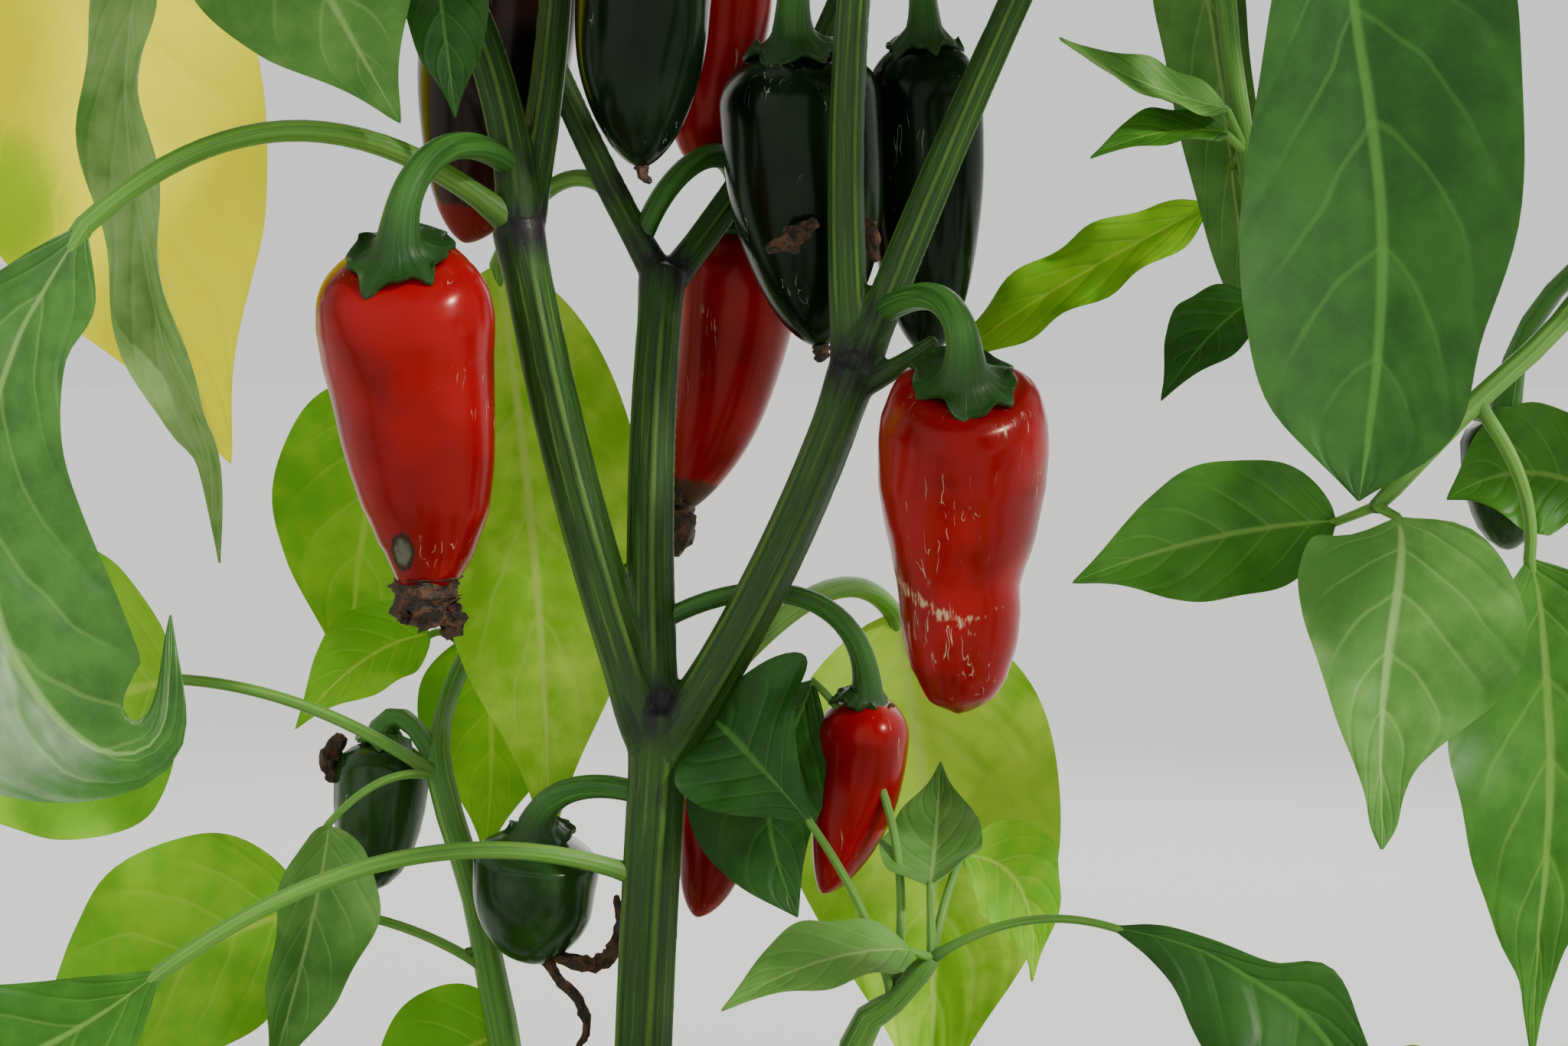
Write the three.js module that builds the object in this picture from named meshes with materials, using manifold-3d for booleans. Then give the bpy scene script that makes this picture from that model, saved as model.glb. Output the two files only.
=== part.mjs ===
// A chilli pepper plant in fruit, rooted in the ground, in millimetres with +Z up.
// The origin is the middle of the flat cut under the main stem, at ground level.
// The front of the plant faces -Y and its right side faces +X.

import * as THREE from 'three';
import { mergeVertices } from 'three/addons/utils/BufferGeometryUtils.js';
import Module from 'manifold-3d';

const wasm = await Module();
wasm.setup();

const at = (x, y, z) => new THREE.Vector3(x, y, z);

// Driving dimensions
const GAP = 0.3;
const GROUND = at(0, 0, 0);
const FORK = at(4, 0, 231);
const LEFT_FORK = at(-22, 6, 320);
const MIDDLE_FORK = at(4, 22, 312);
const RIGHT_FORK = at(39.7, -8, 294.5);
const ROOT_FLARE = 10;
const STEM_RADIUS = 5.5;
const PETIOLE = 1.8;
const ROOT_SINK = 1.5;
const LEAF_THICKNESS = 1.3;
const LENGTH_PER_THICKNESS = 75;
const BLADE_BELLY = 0.7;
const BLADE_FULLNESS = 0.85;
const MIDRIB_RISE = 0.35;
const STALK_RADIUS = 2.3;
const STALK_SWELL = 0.45;
const POD_SHOULDER = 0.2;
const SHOULDER_DROP = 0.8;
const POD_FULLNESS = 0.62;
const TWIG_RADIUS = 2.6;
const TWIG_TAPER = 0.88;

// The crown is a rounded dome that every mass of foliage stays inside
const CROWN_CENTRE = at(10, 5, 470);
const CROWN_REACH = at(245, 225, 255);
const LOWEST_LEAF = 30;
const SPACE_MARGIN = 1.0;
const LIMB_CLEARANCE = 5;
const LEAF_CLEARANCE = 1;
const PETIOLE_CHECK = 0.4;

// The crown is open in front of and behind the bare forks: a window that widens from one point
const WINDOW_POINT = at(27, -558.6, 305);
const WINDOW_DIP = THREE.MathUtils.degToRad(4);
const WINDOW_HALF_WIDTH = 0.268;
const WINDOW_HALF_HEIGHT = 0.181;

// How a shoot grows: sizes in millimetres, angles in degrees
const SHOOT_LENGTH = 46;
const SHOOT_LENGTH_PER_VIGOUR = 7;
const STRONG_TURN = 26;
const WEAK_TURN = 52;
const FIRST_TURN = 12;
const SPREAD_RISE = 38;
const LENGTH_CHANGE = 0.3;
const SIDE_TWIG = 0.9;
const LEAF_TRIES = 8;
const LEAF_TURN = 60;
const LEAF_ROLL = 50;
const LEAF_SIZE = 0.9;
const TIP_LEAVES = 2;
const PETIOLE_RISE = { least: 5, range: 45 };
const BLADE_HANG = { least: 5, range: 55 };
const BLADE_ARCH = 0.1;
const PETIOLE_ARCH = 0.06;
const BLADE_LENGTH = 74;
const BLADE_SPREAD = 30;
const BLADE_PROPORTION = 0.52;
const PETIOLE_PROPORTION = 0.5;
const OWN_LEAF_SHARE = 0.9;
const POD_CHANCE = 0.6;
const POD_LENGTH = 46;
const POD_RADIUS = 12.5;
const POD_BLUNT = 1.2;
const POD_SIZE = { least: 0.75, range: 0.45 };
const POD_TURN = 120;
const POD_ROOM = 2;
const STALK_LENGTH = 24;
const STALK_FALL = 12;
const STALK_ARCH = 6;
const POD_FALL = 82;
const SMALLEST_EDGE = 0.35;

const NEARLY_UPRIGHT = 0.12;
const up = at(0, 0, 1);
const radians = THREE.MathUtils.degToRad;

/** The unit vector with the given compass heading from +X and rise above level, in degrees. */
function direction(heading, rise) {
  const level = Math.cos(radians(rise));
  const [east, north] = [Math.cos(radians(heading)), Math.sin(radians(heading))];
  return at(level * east, level * north, Math.sin(radians(rise)));
}

/** The given number of equal stations from 0 to 1. */
function even(steps) {
  return Array.from({ length: steps + 1 }, (_, i) => i / steps);
}

/** Points at the given stations of an arc whose middle bows out of the straight line by a vector. */
function arc(start, end, bow, stations) {
  return stations.map((t) => start.clone().lerp(end, t).addScaledVector(bow, 4 * t * (1 - t)));
}

/** Side and up vectors at a station of a path, with up as near to the hint as the path lets it be. */
function frameAt(path, i, hint) {
  const before = path[Math.max(i - 1, 0)];
  const after = path[Math.min(i + 1, path.length - 1)];
  const along = after.clone().sub(before).normalize();
  const side = hint.clone().cross(along).normalize();
  return { side, up: along.cross(side) };
}

/** Frames at every station, carried back from the end of the path, where up is nearest to the hint. */
function framesAlong(path, hint) {
  const frames = [];
  for (let i = path.length - 1; i >= 0; i -= 1) {
    frames.unshift(frameAt(path, i, frames.length ? frames[0].up : hint));
  }
  return frames;
}

/**
 * A straight prism of a section bent onto a path.
 * The place function turns a corner of the section into its side and up offsets at a station.
 */
function sweep(section, path, hint, place) {
  const steps = path.length - 1;
  const frames = framesAlong(path, hint);
  const shape = new THREE.Shape(section.map(([x, y]) => new THREE.Vector2(x, y)));
  const prism = new THREE.ExtrudeGeometry(shape, { depth: 1, steps, bevelEnabled: false });
  const corners = prism.attributes.position;
  for (let k = 0; k < corners.count; k += 1) {
    const i = Math.round(corners.getZ(k) * steps);
    const frame = frames[i];
    const [side, rise] = place(corners.getX(k), corners.getY(k), i);
    const point = path[i].clone().addScaledVector(frame.side, side).addScaledVector(frame.up, rise);
    corners.setXYZ(k, point.x, point.y, point.z);
  }
  return solid(prism);
}

/** A closed solid from a geometry: its shared corners are merged and its flattened triangles dropped. */
function solid(geometry) {
  geometry.deleteAttribute('normal');
  geometry.deleteAttribute('uv');
  const merged = mergeVertices(geometry, 1e-4);
  const index = merged.index.array;
  const triangles = [];
  for (let i = 0; i < index.length; i += 3) {
    const [a, b, c] = index.slice(i, i + 3);
    if (a !== b && b !== c && c !== a) triangles.push(a, b, c);
  }
  return new wasm.Manifold(new wasm.Mesh({
    numProp: 3,
    vertProperties: new Float32Array(merged.attributes.position.array),
    triVerts: new Uint32Array(triangles),
  }));
}

/** The largest body of a solid, so that loose scraps and sealed hollows are left out. */
function oneBody(body) {
  const bodies = body.decompose();
  return bodies.reduce((best, next) => (next.volume() > best.volume() ? next : best));
}

/** One body fused from several solids. */
function fuse(bodies) {
  return oneBody(bodies.length > 1 ? wasm.Manifold.union(bodies) : bodies[0]);
}

/** The corners of a regular section of radius 1. */
function round(sides) {
  return Array.from({ length: sides }, (_, i) => {
    const angle = (2 * Math.PI * i) / sides;
    return [Math.cos(angle), Math.sin(angle)];
  });
}

/** A level vector square to the end of a path, for the frames of a round limb. */
function levelHint(path) {
  const along = path.at(-1).clone().sub(path.at(-2));
  const hint = along.clone().cross(up);
  return hint.length() > NEARLY_UPRIGHT * along.length() ? hint.normalize() : at(0, 1, 0);
}

/** A path whose first point is drawn back along it, so that its root is sunk in what carries it. */
function sunk(path, depth = ROOT_SINK) {
  const back = path[0].clone().sub(path[1]).normalize();
  return [path[0].clone().addScaledVector(back, depth), ...path.slice(1)];
}

/** A round limb along a path, with one radius at each station, or all a little thicker and longer. */
function limb(path, radii, sides, thicker = 0) {
  const spread = thicker / Math.cos(Math.PI / sides);
  const line = thicker > 0 ? sunk([...path].reverse(), thicker).reverse() : path;
  const place = (x, y, i) => [x * (radii[i] + spread), y * (radii[i] + spread)];
  return sweep(round(sides), line, levelHint(line), place);
}

/** Radii that taper evenly over the stations of a path. */
function taper(from, to, steps) {
  return even(steps).map((t) => THREE.MathUtils.lerp(from, to, t));
}

/** The half width of an egg-shaped blade with a drawn-out tip, as a share of its widest half. */
function bladeOutline(t) {
  return Math.sin(Math.PI * t ** BLADE_BELLY) ** BLADE_FULLNESS;
}

/** The radius of a blunt pod as a share of its widest, from its shoulder at 0 to its tip at 1. */
function podOutline(t, blunt) {
  if (t < POD_SHOULDER) return Math.sqrt(1 - SHOULDER_DROP * (1 - t / POD_SHOULDER) ** 2);
  return (1 - ((t - POD_SHOULDER) / (1 - POD_SHOULDER)) ** (2 * blunt)) ** POD_FULLNESS;
}

const LEAF_SECTION = [[-1, 0], [0, -1], [1, 0]];
const FOLDED_LEAF_SECTION = [...LEAF_SECTION, [0, MIDRIB_RISE]];

/** The midrib of a leaf: its petiole from root to base and its blade from base to tip. */
function leafPath(leaf, petioleSteps, bladeSteps) {
  const petiole = arc(leaf.root, leaf.base, leaf.lift, even(petioleSteps));
  const blade = arc(leaf.base, leaf.tip, leaf.droop, even(bladeSteps));
  return [...petiole, ...blade.slice(1)];
}

/** A leaf with its petiole as one thin solid, its blade folded up along the midrib by its fold. */
function leafSolid(leaf, petioleSteps, bladeSteps) {
  const path = leafPath(leaf, petioleSteps, bladeSteps);
  const thickness = Math.max(LEAF_THICKNESS, leaf.base.distanceTo(leaf.tip) / LENGTH_PER_THICKNESS);
  const place = (x, y, i) => {
    const t = (i - petioleSteps) / bladeSteps;
    if (t >= 1) return [0, 0];
    const blade = t > 0 ? (leaf.width / 2) * bladeOutline(t) : 0;
    const petiole = leaf.petiole ?? PETIOLE;
    const half = Math.max(petiole / 2, blade);
    if (t <= 0) return [x * half, (y + 0.5) * petiole];
    return [x * half, y * thickness + Math.abs(x) * leaf.fold * blade];
  };
  return sweep(leaf.fold > 0 ? FOLDED_LEAF_SECTION : LEAF_SECTION, path, leaf.face, place);
}

const POD_STATIONS = [0, 0.05, 0.2, 0.45, 0.7, 0.88, 1];
const STALK_STEPS = 3;

/** The line of a fruit: its stalk from the limb to the crown of the pod, and the pod down to its tip. */
function fruitPath(fruit) {
  const stalk = arc(fruit.root, fruit.crown, fruit.arch, even(STALK_STEPS));
  const pod = arc(fruit.crown, fruit.tip, fruit.swing, POD_STATIONS);
  return [...stalk, ...pod.slice(1)];
}

/** The radius of a fruit at each station of its line: stalk, calyx and pod. */
function fruitRadii(fruit) {
  const stalk = even(STALK_STEPS).map((t) => STALK_RADIUS * (1 + STALK_SWELL * t ** 3));
  const pod = POD_STATIONS.slice(1).map((t) => fruit.radius * podOutline(t, fruit.blunt));
  pod[pod.length - 1] = 0;
  if (fruit.waist) pod[3] *= fruit.waist;
  return [...stalk, ...pod];
}

/** A fruit as one solid. */
function fruitSolid(fruit, sides) {
  const path = fruitPath(fruit);
  const radii = fruitRadii(fruit);
  const place = (x, y, i) => [x * radii[i], y * radii[i]];
  const fall = fruit.tip.clone().sub(fruit.root).cross(fruit.arch);
  const hint = fall.length() > 1 ? fall.normalize() : levelHint(path);
  return sweep(round(sides), path, hint, place);
}

/** The limbs: where each starts and ends, how it bows, its radii, and what it is cut clear of. */
const LIMBS = {
  main_stem: { start: GROUND, end: FORK, bow: at(-3, 0, 0), radii: [STEM_RADIUS, 5.3], cuts: [] },
  left_bough: {
    start: at(2.6, 0, 226), end: LEFT_FORK, bow: at(-2.2, 0, 0), radii: [4.8, 4.4],
    cuts: ['main_stem'],
  },
  right_bough: {
    start: at(3.6, 0, 222), end: RIGHT_FORK, bow: at(2.2, 0, -2), radii: [4.7, 4.2],
    cuts: ['main_stem', 'left_bough'],
  },
  middle_bough: {
    start: at(3.4, 1, 228), end: MIDDLE_FORK, bow: at(-1.6, -4, 0), radii: [4.5, 4.1],
    cuts: ['main_stem', 'left_bough', 'right_bough'],
  },
  left_outer_bough: {
    start: at(-22, 6, 318), end: at(-72, 0, 418), bow: at(12.7, 1, 0), radii: [3.9, 2.6],
    cuts: ['left_bough'],
  },
  left_inner_bough: {
    start: at(-21.5, 6, 317), end: at(-14, -30, 432), bow: at(3.7, 18.7, 0), radii: [3.5, 2.4],
    cuts: ['left_bough', 'left_outer_bough'],
  },
  middle_left_bough: {
    start: at(4, 22, 310), end: at(-40, 75, 420), bow: at(-4.8, -12, 0), radii: [2.9, 2.1],
    cuts: ['middle_bough'],
  },
  middle_right_bough: {
    start: at(4, 22, 309), end: at(50, 72, 425), bow: at(11.6, 3.6, 0), radii: [3, 2.2],
    cuts: ['middle_bough', 'middle_left_bough'],
  },
  right_upright_bough: {
    start: at(39.5, -8, 292), end: at(50, -38, 430), bow: at(-5.4, 12.5, 0), radii: [3.6, 2.4],
    cuts: ['right_bough'],
  },
  right_outer_bough: {
    start: at(39.5, -8, 292), end: at(92, 0, 408), bow: at(-1, -2, 2), radii: [3.5, 2.4],
    cuts: ['right_bough', 'right_upright_bough'],
  },
};

/** The widening foot of the main stem. */
const FLARE = [
  { point: GROUND, radius: ROOT_FLARE },
  { point: at(0, 0, 7), radius: 7.4 },
  { point: at(0.3, 0, 22), radius: 6.2 },
];

const LIMB_SIDES = 7;
const LIMB_STEPS = 5;

/** The path of a limb. */
function limbPath(name) {
  const { start, end, bow } = LIMBS[name];
  return arc(start, end, bow, even(LIMB_STEPS));
}

/** A limb as a solid, or a little thicker to cut its neighbours clear. */
function limbSolid(name, thicker = 0) {
  const path = limbPath(name);
  const radii = taper(...LIMBS[name].radii, LIMB_STEPS);
  if (name !== 'main_stem') return limb(path, radii, LIMB_SIDES, thicker);
  const flare = FLARE.map(({ point }) => point);
  const flareRadii = FLARE.map(({ radius }) => radius);
  return limb([...flare, ...path.slice(1)], [...flareRadii, ...radii.slice(1)], LIMB_SIDES, thicker);
}

/** A point on a limb at a share of its length. */
function onLimb(name, share) {
  const { start, end, bow } = LIMBS[name];
  return arc(start, end, bow, [share])[0];
}

/** A solid cut clear of the limbs that carry it or stand next to it. */
function clearOf(body, names) {
  const cut = names.reduce((rest, name) => rest.subtract(limbSolid(name, GAP)), body);
  return oneBody(cut);
}

const RED = '#b80d05';
const DARK_GREEN_POD = '#0e1c10';
const MAROON_POD = '#2a0f0c';

/** The fruits that hang in the open window, each with the limb that carries it. */
const FRUITS = {
  left_red_pod: {
    root: onLimb('left_outer_bough', 0.13), crown: at(-40.3, -14, 318), tip: at(-37.4, -14, 249),
    arch: at(-1, -6, 9), swing: at(1.2, 0, 0), radius: 16.2, blunt: 1.05,
    on: ['left_outer_bough'], colour: RED,
  },
  right_red_pod: {
    root: onLimb('right_outer_bough', 0.1), crown: at(58, -22, 296), tip: at(54.8, -22, 234.5),
    arch: at(3, -6, 7), swing: at(1.6, 0, 0), radius: 15.6, blunt: 1.5, waist: 0.94,
    on: ['right_bough', 'right_upright_bough', 'right_outer_bough'], colour: RED,
  },
  upper_left_pod: {
    root: onLimb('middle_left_bough', 0.7), crown: at(-28, 37, 377), tip: at(-35, 35, 318),
    arch: at(0, -2, 4), swing: at(2, 0, 0), radius: 15.4, blunt: 1.2,
    on: ['middle_left_bough'], colour: MAROON_POD,
  },
  upper_middle_pod: {
    root: onLimb('left_inner_bough', 0.6), crown: at(3.4, 2, 378), tip: at(1, 3, 331),
    arch: at(2, 0, 5), swing: at(-1, 0, 0), radius: 12.4, blunt: 1.4, on: ['left_inner_bough'],
    colour: DARK_GREEN_POD,
  },
  upper_red_pod: {
    root: onLimb('middle_right_bough', 0.66), crown: at(14.5, 44, 378), tip: at(10, 42, 332.5),
    arch: at(0, 0, 5), swing: at(1, 0, 0), radius: 11, blunt: 1.2,
    on: ['middle_right_bough'], colour: RED,
  },
  middle_dark_pod: {
    root: onLimb('right_upright_bough', 0.64), crown: at(29, 17, 355), tip: at(34, 17, 298),
    arch: at(-3, 2, 5), swing: at(-0.5, 0, 0), radius: 15.4, blunt: 1.2, on: ['right_upright_bough'],
    colour: DARK_GREEN_POD,
  },
  right_dark_pod: {
    root: onLimb('middle_right_bough', 0.66), crown: at(54, 37, 358), tip: at(55, 35, 296),
    arch: at(2, -3, 5), swing: at(0, 0, 0), radius: 11.4, blunt: 1.5, on: ['middle_right_bough'],
    colour: DARK_GREEN_POD,
  },
  middle_red_pod: {
    root: onLimb('middle_left_bough', 0.07), crown: at(18, 51, 323), tip: at(4.6, 50, 264),
    arch: at(0, -7, 12), swing: at(4, 0, 0), radius: 12, blunt: 1,
    on: ['middle_bough', 'middle_left_bough', 'middle_right_bough'], colour: RED,
  },
  lower_red_pod: {
    root: onLimb('middle_bough', 0.22), crown: at(42, 11, 233), tip: at(34.2, 9, 195.5),
    arch: at(4, 0, 12), swing: at(2.5, 0, 0), radius: 8.6, blunt: 1.1,
    on: ['middle_bough', 'right_bough'], colour: RED,
  },
  hidden_red_pod: {
    root: onLimb('main_stem', 0.94), crown: at(15, 26, 214), tip: at(10, 24, 188),
    arch: at(0, 3, 4), swing: at(1, 0, 0), radius: 7.5, blunt: 1.1,
    on: ['main_stem', 'left_bough', 'middle_bough'], colour: RED,
  },
  round_green_pod: {
    root: onLimb('main_stem', 0.93), crown: at(-19.5, 15, 206), tip: at(-19, 14, 181),
    arch: at(0, 2, 4), swing: at(-1, 0, 0), radius: 12, blunt: 1.5,
    on: ['main_stem'], colour: DARK_GREEN_POD,
  },
};

/** The leaves that stand in the open window, each with the limb that carries it. */
const FACE_FRONT = at(0, -1, 0.35);
const LEAVES = {
  left_arching_leaf: {
    root: LEFT_FORK, base: at(-108, -38, 300), tip: at(-79, -46, 254), lift: at(-1, 0, 27),
    droop: at(-14, -4, -34), width: 50, fold: 0.25, face: at(0.75, -0.6, 0.3),
    on: ['left_bough', 'left_outer_bough'],
  },
  left_hanging_leaf: {
    root: onLimb('left_outer_bough', 0.62), base: at(-88, 8, 370), tip: at(-77, 2, 258.5),
    lift: at(0, 0, 8), droop: at(-18, 0, 4), width: 30, fold: 0.9, face: at(-0.5, 0.8, 0),
    on: ['left_outer_bough'],
  },
  upper_left_leaf: {
    root: onLimb('left_outer_bough', 0.8), base: at(-66, -22, 388), tip: at(-41, -14, 338),
    lift: at(0, 0, 3), droop: at(-2, 0, 2), width: 42, fold: 0.12, face: at(-0.2, -1, 0.3),
    on: ['left_outer_bough'],
  },
  small_upper_leaf: {
    root: onLimb('left_outer_bough', 0.5), base: at(-36, -8, 372), tip: at(-31.5, -12, 339),
    lift: at(0, 0, 1), droop: at(0, 0, 0), width: 17, fold: 0.3, face: at(0.3, -1, 0.2),
    on: ['left_outer_bough'],
  },
  yellow_leaf: {
    root: onLimb('middle_left_bough', 0.9), base: at(-124, 70, 392), tip: at(-88, 75, 273),
    lift: at(0, 0, 8), droop: at(-4, -2, 4), width: 68, fold: 0.12, face: at(0.1, -1, 0.2),
    on: ['middle_left_bough'],
  },
  lower_left_leaf: {
    root: at(3.9, 0, 199), base: at(-78, -24, 196), tip: at(-128, -38, 150), lift: at(0, 0, 13),
    droop: at(0, 0, 8), width: 50, fold: 0.15, face: at(-0.1, -0.75, 0.65),
    on: ['main_stem'],
  },
  back_right_leaf: {
    root: onLimb('right_bough', 0.12), base: at(49, 56, 244), tip: at(56, 47, 140),
    lift: at(4, 0, 13), droop: at(4, 0, 4), width: 58, fold: 0.12, face: at(-0.2, -1, 0.1),
    on: ['right_bough', 'middle_bough', 'main_stem'],
  },
  back_left_leaf: {
    root: onLimb('middle_left_bough', 0.16), base: at(-29, 38, 314), tip: at(-20, 46, 197),
    lift: at(0, 0, 8), droop: at(2, 2, 0), width: 44, fold: 0.12, face: at(0.2, -1, 0.1),
    on: ['middle_left_bough'],
  },
};

/** The sprays that keep to the edge of the window: a stem of arcs, with its leaves. */
const SPRAYS = {
  left_low_mass: {
    stem: [
      { start: at(1, 0, 118), end: at(-28, 24, 168), bow: at(-6, 2, -8), radius: 3.2 },
      { start: at(-28, 24, 168), end: at(-39.3, 25, 214.9), bow: at(1, 0, 0), radius: 2.7 },
      { start: at(-39.3, 25, 214.9), end: at(-37, 53, 236), bow: at(-2, 0, 0), radius: 2 },
    ],
    on: ['main_stem'],
    leaves: [
      {
        joint: 4, base: at(-108, 22, 236), tip: at(-160, 26, 190), lift: at(0, 0, 4),
        droop: at(0, 0, 12), width: 46, fold: 0, face: at(0.1, -0.5, 0.8),
      },
      {
        joint: 4, base: at(-61.5, 12, 204), tip: at(-71, 2, 156), lift: at(0, 0, 4),
        droop: at(2, 0, 4), width: 24, fold: 0.3, face: at(0.7, -0.7, 0.1),
      },
      {
        joint: 2.4, base: at(-62, 28, 193), tip: at(-106, 34, 146), lift: at(0, 0, 3),
        droop: at(0, 0, 6), width: 40, fold: 0.1, face: at(-0.2, -1, 0.4),
      },
      {
        joint: 6, base: at(-44, 50, 240), tip: at(-70, 42, 222), lift: at(0, 0, 2),
        droop: at(0, 0, 4), width: 20, fold: 0.2, face: at(-0.1, -0.8, 0.5),
      },
      {
        joint: 6, base: at(-36, 68, 239), tip: at(-35, 67, 192), lift: at(0, 0, 2),
        droop: at(2, 0, 3), width: 30, fold: 0.1, face: at(0, -1, 0.1),
      },
      {
        joint: 6, base: at(-50, 70, 290), tip: at(-63, 72, 226), lift: at(-8, 0, 4),
        droop: at(-3, 0, 4), width: 40, fold: 0.1, face: at(-0.1, -1, 0.1),
      },
    ],
    fruits: [{
      joint: 4, crown: at(-52, 38, 220), tip: at(-55.5, 37, 190.5), arch: at(0, 2, 6),
      swing: at(1, 0, 0), radius: 9.4, blunt: 1.4,
    }],
    shoots: [{ joint: 2, heading: 165, vigour: 2 }, { joint: 1, heading: 200, vigour: 3 }],
    seed: 33,
  },
  right_low_mass: {
    stem: [
      { start: at(2, 0, 104), end: at(40, -8, 170.5), bow: at(8, -2, -10), radius: 3 },
      { start: at(40, -8, 170.5), end: at(53.8, -12, 187.7), bow: at(0, 0, 0), radius: 2.2 },
    ],
    on: ['main_stem'],
    leaves: [
      {
        joint: 4, base: at(53.7, -9, 200.5), tip: at(57, 20, 219), lift: at(0, 0, 0),
        droop: at(0, 0, -4), width: 20, fold: 0.25, face: at(0, 0.35, 0.8),
      },
      {
        joint: 4, base: at(60, 0, 204.5), tip: at(74.3, 16, 177), lift: at(0, 0, 2),
        droop: at(4, 0, 6), width: 20, fold: 0.1, face: at(0.4, -0.7, 0.6),
      },
      {
        joint: 4, base: at(50, -17, 190), tip: at(16, -36, 183.5), lift: at(0, 0, 0),
        droop: at(0, 0, 3), width: 19, fold: 0.1, face: at(0, -0.45, 0.9),
      },
      {
        joint: 4, base: at(87.5, -18, 194), tip: at(124, -30, 160), lift: at(0, 0, 4),
        droop: at(4, 0, 3), width: 32, fold: 0.2, face: at(0.35, -0.5, 0.8),
      },
      {
        joint: 3, base: at(17, 6, 224), tip: at(30, -4, 194), lift: at(7, 2, 4),
        droop: at(-2, 0, 0), width: 26, fold: 0.15, face: at(-0.3, -1, 0.1),
      },
      {
        joint: 3, base: at(32.2, -14, 212.6), tip: at(15.5, 8, 231), lift: at(2, 0, 0),
        droop: at(0, 0, -2), width: 32, fold: 0.2, face: at(-0.6, -0.75, 0.3),
      },
    ],
    fruits: [],
    shoots: [{ joint: 2, heading: -25, vigour: 2 }, { joint: 1, heading: -30, vigour: 3 }],
    seed: 37,
  },
  back_low_mass: {
    stem: [
      { start: at(1, 0, 62), end: at(6, 60, 98), bow: at(0, 6, -6), radius: 3.2 },
      { start: at(6, 60, 98), end: at(14, 104, 108), bow: at(0, 0, 0), radius: 2.4 },
    ],
    on: ['main_stem'],
    leaves: [],
    fruits: [],
    shoots: [
      { joint: 2, heading: 150, vigour: 3 }, { joint: 4, heading: 100, vigour: 3 },
      { joint: 3, heading: 30, vigour: 3 },
    ],
    seed: 97,
  },
  front_low_mass: {
    stem: [{ start: at(1, 0, 76), end: at(-6, -58, 112), bow: at(0, -4, -6), radius: 2.8 }],
    on: ['main_stem'],
    leaves: [],
    fruits: [],
    shoots: [
      { joint: 2, heading: 235, vigour: 3 }, { joint: 2, heading: 300, vigour: 2 },
    ],
    seed: 77,
  },
  right_outer_mass: {
    stem: [
      { start: onLimb('right_outer_bough', 0.9), end: at(176, -44, 380), bow: at(6, 0, 18), radius: 2.6 },
      { start: at(176, -44, 380), end: at(165, -50, 317), bow: at(9, 0, 4), radius: 2.2 },
      { start: at(165, -50, 317), end: at(140, -60, 290), bow: at(2, 0, -1), radius: 1.9 },
      { start: at(140, -60, 290), end: at(122.5, -68, 273.5), bow: at(0, 0, 0), radius: 1.6 },
    ],
    on: ['right_outer_bough'],
    leaves: [
      {
        joint: 8, base: at(117.6, -60, 274), tip: at(75.2, -50, 263), lift: at(0, 0, 0),
        droop: at(0, 0, 2), width: 25, fold: 0.1, face: at(0, -0.85, 0.5),
      },
      {
        joint: 8, base: at(123, -73, 272), tip: at(121.5, -88, 221), lift: at(0, 0, 0),
        droop: at(0, -7, 4), width: 37, fold: 0.1, face: at(0, -0.9, 0.4),
      },
      {
        joint: 6, base: at(144, -60, 264), tip: at(150, -64, 184), lift: at(3, 0, 0),
        droop: at(-3, -4, 0), width: 44, fold: 0.1, face: at(0.1, -1, 0.2),
      },
      {
        joint: 4, base: at(164, -44, 276), tip: at(139.5, -44, 277), lift: at(3, 2, 0),
        droop: at(0, 0, 4), width: 20, fold: 0.1, face: at(0, -0.9, 0.4),
      },
      {
        joint: 3, base: at(116, -92, 368), tip: at(115, -101, 277), lift: at(0, 0, 10),
        droop: at(0, -6, 0), width: 45, fold: 0.1, face: at(0, -1, 0.1),
      },
    ],
    fruits: [{
      joint: 4, crown: at(154.8, -19, 286), tip: at(155.3, -20, 262.5), arch: at(-2, 0, 3),
      swing: at(0, 0, 0), radius: 8, blunt: 1.4,
    }],
    shoots: [{ joint: 2, heading: -15, vigour: 2 }, { joint: 3.5, heading: 10, vigour: 3 }],
    seed: 91,
  },
  right_hanging_mass: {
    stem: [
      { start: onLimb('right_outer_bough', 0.78), end: at(106, 6, 372), bow: at(2, 2, 5), radius: 2.2 },
      { start: at(106, 6, 372), end: at(112, 6, 334), bow: at(0, 0, 0), radius: 1.9 },
      { start: at(112, 6, 334), end: at(115.5, 10, 310), bow: at(0, 0, 0), radius: 1.6 },
    ],
    on: ['right_outer_bough'],
    leaves: [
      {
        joint: 4, base: at(107.5, 0, 341.5), tip: at(76, -10, 353.5), lift: at(0, 0, 0),
        droop: at(0, 0, -2), width: 13, fold: 0.2, face: at(0.2, -0.6, 0.8),
      },
      {
        joint: 4, base: at(107.5, 0, 337), tip: at(81.5, -12, 332), lift: at(0, 0, 0),
        droop: at(0, 0, 2), width: 12, fold: 0.2, face: at(0, -0.6, 0.8),
      },
      {
        joint: 4, base: at(110, 24, 328), tip: at(60, 46, 292), lift: at(0, 0, 2),
        droop: at(0, 0, 5), width: 26, fold: 0.1, face: at(-0.2, -0.8, 0.6),
      },
      {
        joint: 6, base: at(114.5, 8, 307), tip: at(95.5, -4, 288.5), lift: at(0, 0, 0),
        droop: at(0, 0, 2), width: 17, fold: 0.2, face: at(-0.4, -0.8, 0.4),
      },
      {
        joint: 2, base: at(105, 16, 371), tip: at(109.5, 14, 300), lift: at(0, 0, 2),
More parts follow.
